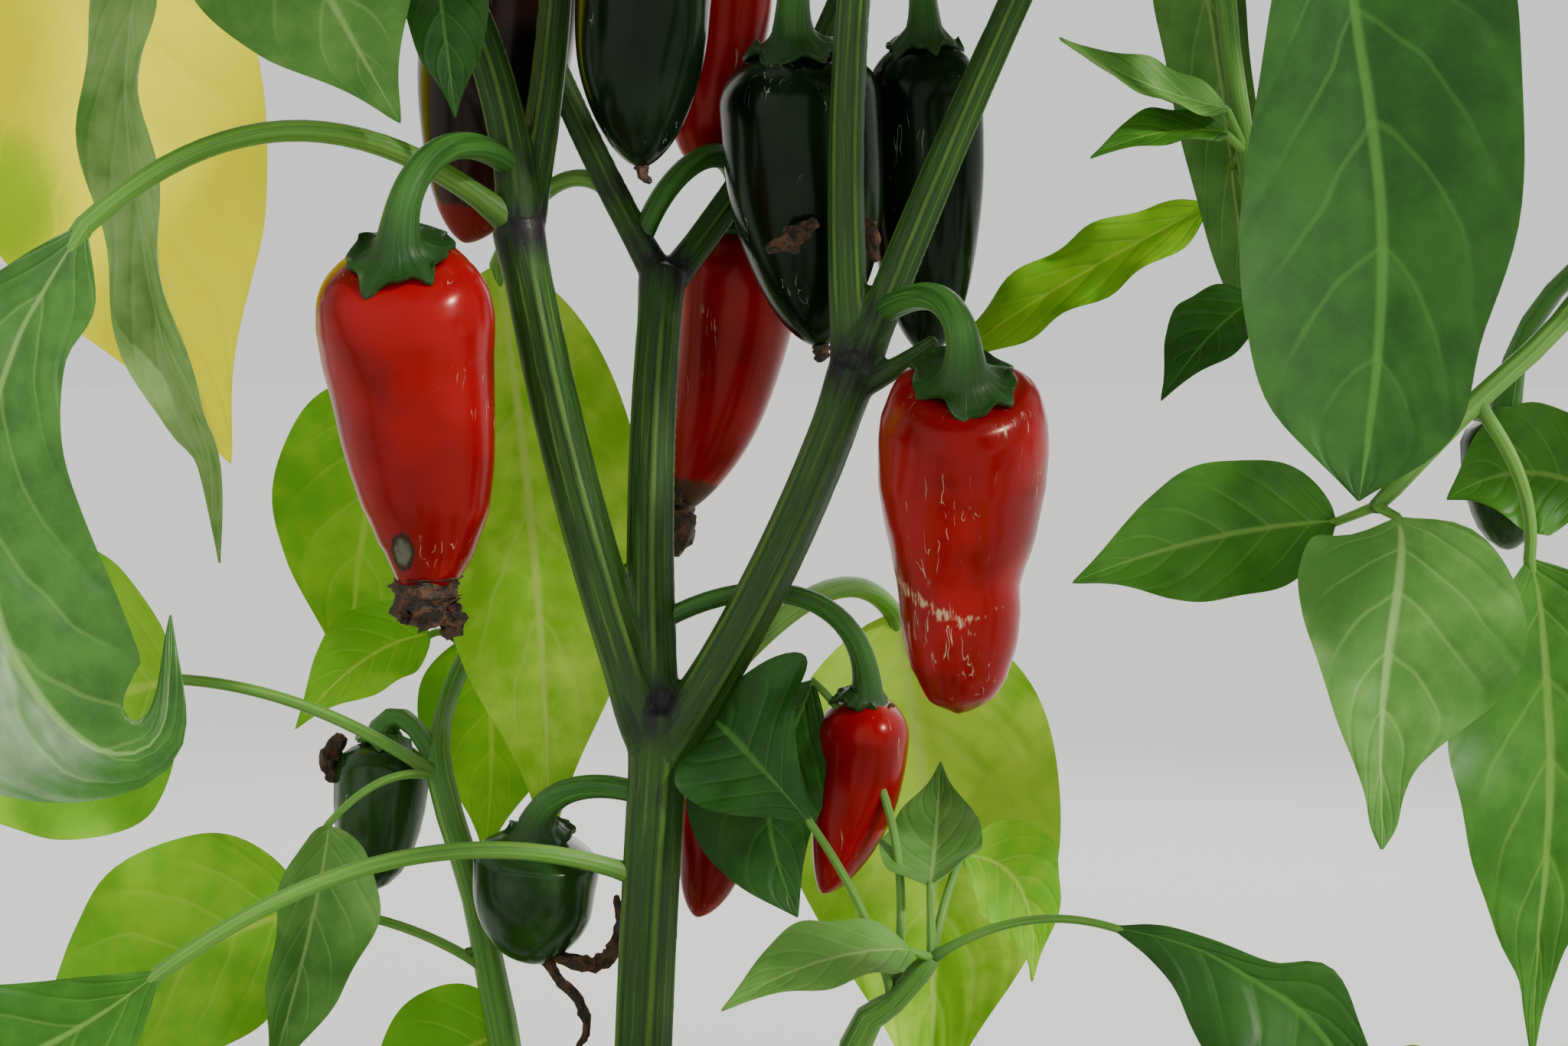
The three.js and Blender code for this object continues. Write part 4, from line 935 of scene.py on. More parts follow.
class Wrapping:
    """A mesh of grids bent round a piece, each closed along its seam and at its two ends."""

    def __init__(self) -> None:
        """Starts empty, with a UV map and a mark for each point."""
        self.work = bmesh.new()
        self.work.loops.layers.uv.new("surface")
        self.mark = self.work.verts.layers.float.new("mark")

    def add(self, points: Vec, marks: Vec | None = None, kind: int = 0) -> None:
        """Bends one grid into place.

        Args:
            points: Rows of points, the last of each row the same as its first.
            marks: A mark from 0 to 1 for each point.
            kind: The number of the material.
        """
        rows, columns = points.shape[0] - 1, points.shape[1] - 1
        made = bmesh.ops.create_grid(
            self.work, x_segments=columns, y_segments=rows, size=0.5, calc_uvs=True)["verts"]
        flat = np.zeros(len(made)) if marks is None else np.broadcast_to(marks, points.shape[:2]).ravel()
        for vert, point, mark in zip(made, points.reshape(-1, 3) * MM, flat):
            vert.co = point
            vert[self.mark] = mark
        if kind:
            for face in {face for vert in made for face in vert.link_faces}:
                face.material_index = kind

    def mesh(self, name: str, crease: float = 60) -> Mesh:
        """The finished mesh, with its seams and ends merged and its faces turned outwards."""
        bmesh.ops.remove_doubles(self.work, verts=self.work.verts, dist=2e-6)
        bmesh.ops.recalc_face_normals(self.work, faces=self.work.faces)
        mesh = bpy.data.meshes.new(name)
        self.work.to_mesh(mesh)
        self.work.free()
        smooth(mesh, crease)
        return mesh


def ring_points(path: Vec, radii: Vec, angles: Vec, hint: Vec | None = None) -> Vec:
    """Round rings along a path, in frames whose up follows a hint at its end."""
    return rings_in(path, *frames_along(path, level_hint(path) if hint is None else hint), radii, angles)


def rings_in(path: Vec, sides: Vec, ups: Vec, radii: Vec, angles: Vec) -> Vec:
    """Round rings about the points of a path, anticlockwise.

    Args:
        path: The middles of the rings.
        sides: The frames' side vectors.
        ups: The frames' up vectors.
        radii: The radii, by station or by station and angle.
        angles: The angles of the points of a ring.

    Returns:
        The points, by station and angle.
    """
    radii = radii[:, None] if radii.ndim == 1 else radii
    x, y = radii * np.cos(angles), radii * np.sin(angles)
    return path[:, None] + sides[:, None] * x[..., None] + ups[:, None] * y[..., None]


def capped(path: Vec, radii: Vec, root: float, end: float) -> tuple[Vec, Vec]:
    """A path drawn out a little beyond either end, where its radius falls to nothing."""
    before = path[:1] + unit(path[0] - path[1]) * root
    after = path[-1:] + unit(path[-1] - path[-2]) * end
    return np.vstack([before, path, after]), np.concatenate([[0], radii, [0]])


def bent(points: Vec, steps: int) -> Vec:
    """A smooth path through points, as a Catmull-Rom curve with a number of steps in each span."""
    ends = np.vstack([2 * points[0] - points[1], points, 2 * points[-1] - points[-2]])
    out = []
    t = (np.arange(steps) / steps)[:, None]
    for i in range(len(points) - 1):
        a, b, c, d = ends[i:i + 4]
        out.append(0.5 * (2 * b + (c - a) * t + (2 * a - 5 * b + 4 * c - d) * t**2
                          + (3 * b - a - 3 * c + d) * t**3))
    return np.vstack(out + [points[-1:]])


class Blade:
    """The surface of a leaf: folded, cupped, waved, quilted between its veins, and thin."""

    THICKNESS = 0.7
    VEINS = 7
    VEIN_SLANT = 0.2
    VEIN_CURVE = 0.08
    GROOVE = 0.7
    GROOVE_WIDTH = 0.07
    RIB_SHARE = 0.85
    QUILTED_LENGTH = 90
    BIG = 50
    FEW_RINGS = (0.08, 0.3, 0.55, 0.78, 0.92)
    MORE_RINGS = (0.05, 0.2, 0.36, 0.53, 0.7, 0.84, 0.94)

    def __init__(self, leaf: Leaf) -> None:
        """Keeps the leaf."""
        self.leaf = leaf
        self.length = float(np.linalg.norm(leaf.tip - leaf.base))

    def traced(self, along: Vec) -> Vec:
        """Rows of the traced rib, its point and its two half widths, at stations along it."""
        rows = bent(np.array(self.leaf.rib), 10)
        steps = np.linalg.norm(np.diff(rows[:, :3], axis=0), axis=1)
        share = np.concatenate([[0], np.cumsum(steps)]) / steps.sum()
        return np.stack([np.interp(along, share, column) for column in rows.T], axis=1)

    def midrib(self, along: Vec) -> Vec:
        """Points of the midrib at stations from the base at 0 to the tip at 1."""
        leaf = self.leaf
        if leaf.rib:
            return self.traced(along)[:, :3]
        line = arc(leaf.base, leaf.tip, leaf.droop, along)
        side = unit(np.cross(leaf.face, leaf.tip - leaf.base))
        return line + side * (leaf.lie.bend * self.length * np.sin(np.pi * np.asarray(along)) ** 2)[:, None]

    def half_width(self, along: Vec, right: Vec) -> Vec:
        """Half the width of the blade by station and side, drawn out to a point at the tip."""
        if self.leaf.rib:
            rows = self.traced(along)
            return np.where(right, rows[:, 3:4], rows[:, 4:5])
        drawn = 1 - 0.4 * smoothstep(0.66, 0.95, along)
        return (self.leaf.width / 2 * blade_outline(along) * drawn)[:, None] * np.ones(right.shape)

    def quilt(self) -> float:
        """The height of the quilting, lower on a small leaf."""
        return self.leaf.lie.quilt * min(1.0, self.length / self.QUILTED_LENGTH)

    def points(self, along: Vec, around: Vec) -> Vec:
        """The points of the blade's shell.

        Args:
            along: Stations from the base at 0 to the tip at 1.
            around: Shares of the way round: over the top to 0.5, and back under it to 1.

        Returns:
            The points, by station and share.
        """
        leaf, lie = self.leaf, self.leaf.lie
        mid = self.midrib(along)
        sides, ups = frames_along(mid, leaf.face)
        turn = np.radians(lie.twist * (along - 0.2))[:, None]
        sides, ups = sides * np.cos(turn) + ups * np.sin(turn), ups * np.cos(turn) - sides * np.sin(turn)
        s = np.where(around < 0.5, 1 - 4 * around, 4 * around - 3)[None]
        t, half, edge = along[:, None], self.half_width(along, s > 0), np.abs(s)
        bow = max(math.radians(lie.cup), 1e-3)
        flat = half * np.sin(bow * edge) / bow * np.sign(s)
        fold = math.atan(leaf.fold)
        across = flat * math.cos(fold)
        rise = half * (1 - np.cos(bow * edge)) / bow * math.cos(fold) + np.abs(flat) * math.sin(fold)
        phase = lie.phase + np.where(s > 0, 1.9, 0)
        rise = rise + lie.wave * half * edge**2 * np.sin(2 * np.pi * lie.waves * t + phase)
        vein = self.VEINS * (t - self.VEIN_SLANT * edge - self.VEIN_CURVE * edge**2)
        quilt = self.quilt()
        rise = rise + quilt * np.abs(np.sin(np.pi * vein)) ** 0.7 * (1 - edge**3) * 4 * t * (1 - t)
        rise = rise - self.GROOVE * quilt * np.exp(-((s / self.GROOVE_WIDTH) ** 2)) * np.sin(np.pi * t)
        thick = self.THICKNESS / 2 * np.sqrt(np.clip(1 - s**2, 0, 1)) * smoothstep(0, 0.05, half)
        rise = rise + np.where(around < 0.5, thick, -thick)
        return mid[:, None] + sides[:, None] * across[..., None] + ups[:, None] * rise[..., None]

    def stalk_path(self, petiole: int, blade: int) -> tuple[Vec, Vec]:
        """The line of the petiole and of the midrib under the blade, and its radii.

        Args:
            petiole: The steps of the petiole.
            blade: The steps of the midrib.

        Returns:
            The path and the radius at each of its stations.
        """
        leaf = self.leaf
        base = max(0.75, self.length / 78) * leaf.stout
        root = base * 1.25
        stem = arc(leaf.root, leaf.base, leaf.lift, even(petiole))
        rib = self.midrib(self.RIB_SHARE * even(blade)[1:])
        _, ups = frames_along(np.vstack([stem[-1:], rib]), leaf.face)
        share = even(blade)[1:]
        radii = base * (1 - share) ** 0.8 + 0.15
        sunk = radii * 0.75 + 0.1 + self.GROOVE * self.quilt() * np.sin(self.RIB_SHARE * np.pi * share)
        rib = rib - ups[1:] * sunk[:, None]
        t = even(petiole)
        swollen = root + (base - root) * t**0.6 + 0.5 * base * np.exp(-((t / 0.06) ** 2))
        return np.vstack([stem, rib]), np.concatenate([swollen, radii])

    def wrap(self, wrapping: Wrapping, along: int, around: int, kind: int, stalk_kind: int,
             blot: Vec | None = None) -> None:
        """Adds the blade and its stalk to a wrapping, finely.

        Args:
            wrapping: The wrapping.
            along: The steps along the blade.
            around: The steps round it.
            kind: The number of the blade's material.
            stalk_kind: The number of the stalk's material.
            blot: The middle of a blotch of the blade's second colour.
        """
        t = 0.5 * (0.5 - 0.5 * np.cos(np.pi * even(along)) + even(along))
        points, marks = self.points(t, even(around)), None
        if blot is not None:
            away = np.linalg.norm((points - blot) / at(14, 60, 19), axis=-1)
            marks = 1 - smoothstep(0.45, 1.1, away)
        wrapping.add(points, marks, kind=kind)
        path, radii = capped(*self.stalk_path(22, 20), 1.2, 0.3)
        rings = ring_points(path, radii, 2 * np.pi * even(14), self.leaf.face)
        dark = 0.8 * np.exp(-((np.arange(len(rings)) / 3.6) ** 2))
        wrapping.add(rings, dark[:, None], kind=stalk_kind)

    def shell(self, blades: Shells, stalks: Shells) -> None:
        """Adds the blade to joined blades and its stalk to joined twigs, in a few faces."""
        big = self.length > self.BIG
        rings = self.MORE_RINGS if big else self.FEW_RINGS
        points = self.points(np.array([0, *rings, 1]), np.arange(8) / 8)
        blades.add(points[1:-1], points[0].mean(axis=0), points[-1].mean(axis=0))
        path, radii = self.stalk_path(4 if big else 2, 3 if big else 2)
        tube = ring_points(path, radii, 2 * np.pi * np.arange(5) / 5, self.leaf.face)
        stalks.add(tube, path[0], path[-1])


@dataclass(frozen=True)
class Profile:
    """The measured side of a pod, in millimetres down from its crown."""

    falls: tuple[float, ...]
    halves: tuple[float, ...]
    shifts: tuple[float, ...]


class Pod:
    """A pod with its calyx and stalk."""

    NECK = 0.45
    LOBES = 3

    def __init__(self, fruit: Fruit, profile: Profile | None = None, turn: float = 0.0,
                 nod: float = 0.0) -> None:
        """Keeps the pod's line.

        Args:
            fruit: The pod as the model has it.
            profile: Its measured side, where it has one.
            turn: The angle that its lobes and its calyx are turned by.
            nod: The angle that its crown bends to the front by, in degrees.
        """
        self.fruit, self.profile, self.turn = fruit, profile, turn
        self.length = float(np.linalg.norm(fruit.tip - fruit.crown))
        self.axis = (fruit.tip - fruit.crown) / self.length
        reach = self.length * self.NECK / 2 * math.tan(math.radians(nod))
        self.bow = at(0, -reach, -0.5 * reach)
        self.crown = fruit.crown + self.bow
        self.top = unit(self.axis - at(0, 1, 0) * self.axis[1] - 2 * self.bow / (self.NECK * self.length))

    def radius(self, t: Vec) -> Vec:
        """The mean radius at stations from the crown at 0 to the tip at 1."""
        if self.profile is None:
            return self.fruit.radius * pod_outline(t, self.fruit.blunt)
        falls = np.array(self.profile.falls) / self.length
        fine = np.linspace(0, falls[-1], 240)
        half = np.interp(fine, falls, self.profile.halves)
        for _ in range(35):
            half[1:-1] = 0.25 * half[:-2] + 0.5 * half[1:-1] + 0.25 * half[2:]
        return np.interp(t, fine, half)

    def centre(self, t: Vec) -> Vec:
        """The middle of the pod at each station."""
        t = np.asarray(t)
        line = arc(self.fruit.crown, self.fruit.tip, self.fruit.swing, t)
        if self.profile is not None:
            falls = np.array(self.profile.falls) / self.length
            line = self.fruit.crown + t[:, None] * (self.fruit.tip - self.fruit.crown)
            line[:, 0] += np.interp(t, falls, self.profile.shifts)
        return line + self.bow * (np.clip(1 - t / self.NECK, 0, 1) ** 2)[:, None]

    def body(self, steps: int, angles: Vec) -> Vec:
        """The rings of the pod from the dimple under its calyx to its tip, both closed to a point.

        Args:
            steps: The steps from crown to tip.
            angles: The angles of the points of a ring.

        Returns:
            The points, by ring and angle.
        """
        end = 1.0 if self.profile is None else self.profile.falls[-1] / self.length
        t = end * (0.5 - 0.5 * np.cos(np.pi * even(steps)))
        centre, radius = self.centre(t), self.radius(t)
        radius[-1] = 0
        sides, ups = frames_along(centre, level_hint(centre[[0, -1]]))
        sides, ups = np.vstack([sides[:1], sides[:1], sides]), np.vstack([ups[:1], ups[:1], ups])
        centre = np.vstack([self.crown + self.top * 1.4, self.crown + self.top * 0.9, centre])
        radius = np.concatenate([[0, radius[0] * 0.5], radius])
        t = np.concatenate([[0, 0], t])
        a, down = angles[None] + self.turn, t[:, None]
        lobes = np.cos(self.LOBES * a)
        swell = 1 + 0.028 * lobes * (1 - 0.5 * down) + 0.014 * np.cos(2 * a + 5 * down)
        swell = swell + 0.008 * np.sin(5 * a + 9 * down) + 0.01 * np.sin(13 * down + 2 * np.cos(a))
        swell = swell + 0.05 * lobes * np.exp(-((down / 0.1) ** 2))
        return rings_in(centre, sides, ups, radius[:, None] * swell, angles)

    def stalk(self, steps: int, angles: Vec) -> Vec:
        """The rings of the stalk, its calyx over the pod's shoulder, and the calyx's underside.

        Args:
            steps: The steps of the stalk.
            angles: The angles of the points of a ring.

        Returns:
            The points, by ring and angle, both ends closed to a point.
        """
        fruit, axis, crown = self.fruit, self.top, self.crown
        middle = (fruit.root + fruit.crown) / 2 + 2 * fruit.arch
        first = fruit.root + (middle - fruit.root) * (2 / 3)
        small = min(1.0, fruit.radius / 12)
        foot = crown - axis * 3.4 * small
        second = foot + (middle - foot) * (2 / 3)
        second = 0.4 * second + 0.6 * (foot - axis * np.linalg.norm(second - foot))
        t = even(steps)[:, None]
        path = ((1 - t) ** 3 * fruit.root + 3 * (1 - t) ** 2 * t * first
                + 3 * (1 - t) * t**2 * second + t**3 * foot)
        slim = min(1.0, 0.35 + fruit.radius / 22)
        radii = STALK_RADIUS * slim * (1 + STALK_SWELL * t[:, 0] ** 3 + 0.3 * t[:, 0] ** 16)
        ridge = 2 * np.abs(np.cos(2.5 * angles)) ** 0.6 - 1
        ribs = 1 + 0.07 * ridge[None] * np.sin(np.pi * (0.1 + 0.9 * t))
        sides, ups = frames_along(np.vstack([path, foot + axis]), level_hint(np.vstack([foot, foot + axis])))
        rings = [rings_in(path, sides[:-1], ups[:-1], radii[:, None] * ribs, angles)]
        side, up, stem, rim = sides[-1], ups[-1], radii[-1], self.rim(angles)
        flare = 0.35 + 0.65 * np.cos(self.LOBES * angles + self.turn) ** 2
        for share, under in (*((k, 0.0) for k in (0.12, 0.3, 0.5, 0.68, 0.8, 0.9, 0.96, 1.0)),
                             (0.985, 0.75), (0.85, 0.8), (0.4, 1.4)):
            curl = 1.3 * smoothstep(0.75, 1, share) * flare + 0.4 * np.sin(5 * angles + self.turn) * share**2
            lift = (2.7 * (1 - share) ** 3 + curl) * small + 0.9 - under
            rings.append(self.cap(stem + (rim - stem) * share, lift, angles, side, up)[None])
        close = np.broadcast_to(crown + axis * 1.5, (1, len(angles), 3))
        start = np.broadcast_to(path[0] + unit(path[0] - path[1]) * 1.0, (1, len(angles), 3))
        return np.vstack([start, *rings, close])

    def rim(self, angles: Vec) -> Vec:
        """The radius of the calyx's rim, with its points."""
        points = (1 - 2 * np.abs((self.LOBES * angles + self.turn) / np.pi % 1 - 0.5)) ** 2
        rough = 0.05 * np.sin(2 * angles + 2 * self.turn) + 0.03 * np.sin(11 * angles + self.turn)
        uneven = 0.09 + 0.06 * np.sin(2 * angles + 5 * self.turn)
        return self.fruit.radius * (0.58 + uneven * points + rough)

    def cap(self, radius: Vec, lift: Vec, angles: Vec, side: Vec, up: Vec) -> Vec:
        """A ring that lies over the pod's shoulder, lifted off it."""
        t = np.linspace(0, 0.3, 60)
        wide = self.radius(t)
        best = int(np.argmax(wide))
        depth = np.interp(radius, wide[:best + 1], t[:best + 1] * self.length)
        depth = depth + 1.2 * (1 - np.clip(radius / wide[0], 0, 1)) ** 2
        centre = self.crown + self.top * (depth - lift)[:, None]
        return centre + side * (radius * np.cos(angles))[:, None] + up * (radius * np.sin(angles))[:, None]


def crumpled(path: Vec, radii: Vec, seed: int, rough: float, columns: int) -> Vec:
    """Rings of a dried, crumpled scrap along a path, closed to a point at both ends."""
    run = np.random.default_rng(seed)
    angles = 2 * np.pi * even(columns)
    noise = 1 + rough * run.normal(size=(len(path), columns))
    noise = np.hstack([noise, noise[:, :1]])
    radii = np.asarray(radii, dtype=float)[:, None] * np.clip(noise, 0.3, 1.8)
    return ring_points(path, radii, angles)


Colour = tuple[float, float, float]
Skins = dict[str, Material]


class Nodes:
    """Adds shader nodes to a tree and joins them by short calls."""

    def __init__(self, tree: NodeTree) -> None:
        """Keeps the tree."""
        self.tree = tree

    def add(self, kind: str, inputs: dict | None = None, **settings: object) -> Node:
        """Adds a node.

        Args:
            kind: Its type, without the words ShaderNode.
            inputs: Values or sockets for its inputs, by name or number.
            settings: Its own settings.

        Returns:
            The node.
        """
        node = self.tree.nodes.new("ShaderNode" + kind)
        for key, value in settings.items():
            setattr(node, key, value)
        for key, value in (inputs or {}).items():
            if isinstance(value, NodeSocket):
                self.tree.links.new(value, node.inputs[key])
            else:
                node.inputs[key].default_value = value
        return node

    def math(self, operation: str, *values: object) -> NodeSocket:
        """The result of a Math node."""
        return self.add("Math", dict(enumerate(values)), operation=operation).outputs[0]

    def times(self, first: object, second: object) -> NodeSocket:
        """The product of two values."""
        return self.math("MULTIPLY", first, second)

    def scaled(self, value: object, factor: object, more: object) -> NodeSocket:
        """A value times a factor, and more."""
        return self.math("MULTIPLY_ADD", value, factor, more)

    def mark(self) -> NodeSocket:
        """The mark that each point of a mesh carries."""
        return self.add("Attribute", attribute_name="mark").outputs["Fac"]

    def streaks(self, vector: object, effects: "Effects") -> list[NodeSocket]:
        """The streak, line and speck of the long fibres along a vector."""
        return list(self.add("Group", {"Vector": vector}, node_tree=effects.fibre).outputs)

    def step(self, value: object, low: float, high: float) -> NodeSocket:
        """A smooth rise from 0 at low to 1 at high."""
        inputs = {"Value": value, "From Min": low, "From Max": high}
        return self.add("MapRange", inputs, interpolation_type="SMOOTHSTEP").outputs["Result"]

    def fall(self, value: object, low: float, high: float) -> NodeSocket:
        """A smooth fall from 1 at low to 0 at high."""
        inputs = {"Value": value, "From Min": low, "From Max": high, "To Min": 1, "To Max": 0}
        return self.add("MapRange", inputs, interpolation_type="SMOOTHSTEP").outputs["Result"]

    def mix(self, factor: object, first: object, second: object) -> NodeSocket:
        """A colour mixed from two."""
        values = [(*c, 1) if isinstance(c, tuple) else c for c in (first, second)]
        node = self.add("Mix", {0: factor, 6: values[0], 7: values[1]}, data_type="RGBA")
        return node.outputs[2]

    def noise(self, vector: object, scale: float, detail: float = 2) -> NodeSocket:
        """A noise from about 0.3 to 0.7."""
        return self.add("TexNoise", {"Vector": vector, "Scale": scale, "Detail": detail}).outputs["Fac"]

    def stretched(self, vector: object, scale: Colour) -> NodeSocket:
        """A vector scaled along each axis."""
        return self.add("Mapping", {"Vector": vector, "Scale": scale}).outputs["Vector"]

    def into(self, node: Node, values: dict[str, NodeSocket]) -> None:
        """Leads values into a node's inputs, by name."""
        for name, value in values.items():
            self.tree.links.new(value, node.inputs[name])

    def surface(self, shader: Node, colour: object, rough: object, bump: tuple) -> None:
        """Leads a colour, a roughness, and a bump of a height, a strength and a depth into a shader."""
        height, strength, depth = bump
        node = self.add("Bump", {"Strength": strength, "Distance": depth, "Height": height})
        self.into(shader, {"Base Color": colour, "Roughness": rough, "Normal": node.outputs[0]})


def new_group(name: str, inputs: dict[str, str], outputs: list[str]) -> tuple:
    """A shader node group with its sockets.

    Args:
        name: Its name.
        inputs: The socket type of each input, without the words NodeSocket, by name.
        outputs: The names of its outputs, all values.

    Returns:
        The node adder of the group, the outputs of its input node, and its output node.
    """
    tree = bpy.data.node_groups.new(name, "ShaderNodeTree")
    for title, kind in inputs.items():
        tree.interface.new_socket(title, in_out="INPUT", socket_type="NodeSocket" + kind)
    for title in outputs:
        tree.interface.new_socket(title, in_out="OUTPUT", socket_type="NodeSocketFloat")
    return Nodes(tree), tree.nodes.new("NodeGroupInput").outputs, tree.nodes.new("NodeGroupOutput")


class Effects:
    """The shader groups that several finishes use."""

    def __init__(self) -> None:
        """Builds the groups once."""
        self.blade = self.build_blade()
        self.fibre = self.build_fibre()
        self.cork = self.build_cork()

    @staticmethod
    def build_blade() -> NodeTree:
        """The veins, the relief between them, the mottling and the upper side of a leaf, by its UV map."""
        names = ["Vein", "Midrib", "Relief", "Mottle", "Top"]
        nodes, given, made = new_group("blade_veins", {"Veins": "Float", "Fineness": "Float"}, names)
        place = nodes.add("UVMap", uv_map="surface").outputs[0]
        split = nodes.add("SeparateXYZ", {0: place})
        around, along = split.outputs[0], split.outputs[1]
        edge = nodes.math("PINGPONG", nodes.scaled(around, 4, 1), 1)
        spot = nodes.add("TexCoord").outputs["Object"]
        wobble = nodes.scaled(nodes.noise(spot, 90, 1), 0.05, -0.025)
        slant = nodes.times(edge, Blade.VEIN_SLANT)
        bowed = nodes.scaled(nodes.times(edge, edge), Blade.VEIN_CURVE, slant)
        ahead = nodes.math("ADD", nodes.math("SUBTRACT", along, bowed), wobble)
        count = nodes.times(ahead, given["Veins"])
        off = nodes.times(nodes.math("PINGPONG", count, 0.5), 2)
        faded = nodes.times(nodes.fall(edge, 0.4, 0.95), nodes.fall(along, 0.7, 0.9))
        side_vein = nodes.times(nodes.fall(off, 0.02, 0.14), faded)
        midrib = nodes.fall(edge, 0.015, 0.06)
        fine = nodes.add("TexVoronoi", {"Vector": spot, "Scale": given["Fineness"]},
                         feature="DISTANCE_TO_EDGE").outputs["Distance"]
        net = nodes.fall(fine, 0, 0.09)
        relief = nodes.step(off, 0, 0.5)
        broad = nodes.times(nodes.noise(spot, 30, 1), 0.5)
        mottle = nodes.scaled(nodes.noise(spot, 160, 3), 0.5, broad)
        vein = nodes.math("ADD", nodes.times(side_vein, 0.75), nodes.times(net, 0.1))
        top = nodes.math("LESS_THAN", around, 0.5)
        nodes.into(made, dict(zip(names, (vein, midrib, relief, nodes.step(mottle, 0.36, 0.64), top))))
        return nodes.tree

    @staticmethod
    def build_fibre() -> NodeTree:
        """Long fine streaks for stems and stalks, from a vector that runs round and along them."""
        nodes, given, made = new_group("long_fibre", {"Vector": "Vector"}, ["Streak", "Line", "Speck"])
        vector = given["Vector"]
        wide = nodes.noise(nodes.stretched(vector, (2.6, 2.6, 0.05)), 1, 2)
        thin = nodes.noise(nodes.stretched(vector, (9, 9, 0.1)), 1, 2)
        speck = nodes.noise(nodes.stretched(vector, (12, 12, 1.4)), 1, 2)
        nodes.into(made, {"Streak": nodes.step(wide, 0.38, 0.62), "Line": nodes.step(thin, 0.52, 0.66),
                          "Speck": nodes.step(speck, 0.6, 0.75)})
        return nodes.tree

    @staticmethod
    def build_cork() -> NodeTree:
        """Short upright cork cracks in a pod's skin, in patches, and a broad mottling."""
        nodes, given, made = new_group("cork_cracks", {"Amount": "Float"}, ["Crack", "Mottle", "Relief"])
        spot = nodes.add("TexCoord").outputs["Object"]
        bend = nodes.add("TexNoise", {"Vector": spot, "Scale": 220, "Detail": 1}).outputs["Color"]
        shifted = nodes.add("VectorMath", {0: bend, 1: (0.0016, 0.0016, 0.0016)}, operation="MULTIPLY")
        moved = nodes.add("VectorMath", {0: spot, 1: shifted.outputs[0]}, operation="ADD").outputs[0]
        cells = nodes.add("TexVoronoi", {"Vector": nodes.stretched(moved, (620, 620, 135)), "Scale": 1})
        thin = nodes.noise(nodes.stretched(moved, (700, 700, 14)), 1, 1)
        thin = nodes.math("ABSOLUTE", nodes.math("SUBTRACT", thin, 0.5))
        chosen = nodes.step(nodes.math("ADD", nodes.noise(spot, 75, 1), given["Amount"]), 0.62, 0.74)
        near = nodes.fall(cells.outputs["Distance"], 0.32, 0.46)
        line = nodes.times(nodes.fall(thin, 0.003, 0.02), near)
        mottle = nodes.step(nodes.noise(spot, 55), 0.35, 0.65)
        nodes.into(made, {
            "Crack": nodes.times(chosen, line), "Mottle": mottle, "Relief": nodes.noise(spot, 260)})
        return nodes.tree


def new_material(name: str, settings: dict) -> tuple[Material, Nodes, Node]:
    """A material with its node adder and its Principled BSDF, with plain settings."""
    material = bpy.data.materials.new(name)
    material.use_nodes = True
    material.node_tree.nodes.clear()
    nodes = Nodes(material.node_tree)
    shader = nodes.add("BsdfPrincipled", settings)
    nodes.add("OutputMaterial", {"Surface": shader.outputs[0]})
    return material, nodes, shader


@dataclass(frozen=True)
class LeafFinish:
    """A leaf's colours above and below, its veins, its gloss, its relief, and a glow that paints light
    shining through it from behind.
    """

    name: str
    top: Colour
    shade: Colour
    under: Colour
    vein: Colour
    roughness: float = 0.4
    blotch: Colour | None = None
    relief: float = 0.35
    glow: float = 0
    gloss: float = 0.2

    def build(self, effects: Effects) -> Material:
        """Makes the material."""
        material, nodes, shader = new_material(self.name, {"Specular IOR Level": self.gloss})
        blade = nodes.add("Group", {"Veins": Blade.VEINS, "Fineness": 420}, node_tree=effects.blade)
        vein, midrib, relief, mottle, top = blade.outputs
        green = nodes.mix(mottle, self.shade, self.top)
        if self.blotch:
            green = nodes.mix(nodes.mark(), green, self.blotch)
        veined = nodes.mix(nodes.times(vein, 0.42), green, self.vein)
        veined = nodes.mix(nodes.times(midrib, 0.75), veined, self.vein)
        below = nodes.mix(nodes.times(vein, 0.55), self.under, self.vein)
        colour = nodes.mix(top, below, veined)
        # Painted backlight: the leaf gives off its own colour as a faint glow.
        if self.glow:
            nodes.into(shader, {"Emission Color": colour})
            shader.inputs["Emission Strength"].default_value = self.glow
        rough = nodes.scaled(top, -0.1, nodes.scaled(mottle, -0.08, self.roughness + 0.16))
        nodes.surface(shader, colour, rough, (relief, self.relief, 0.0004))
        return material


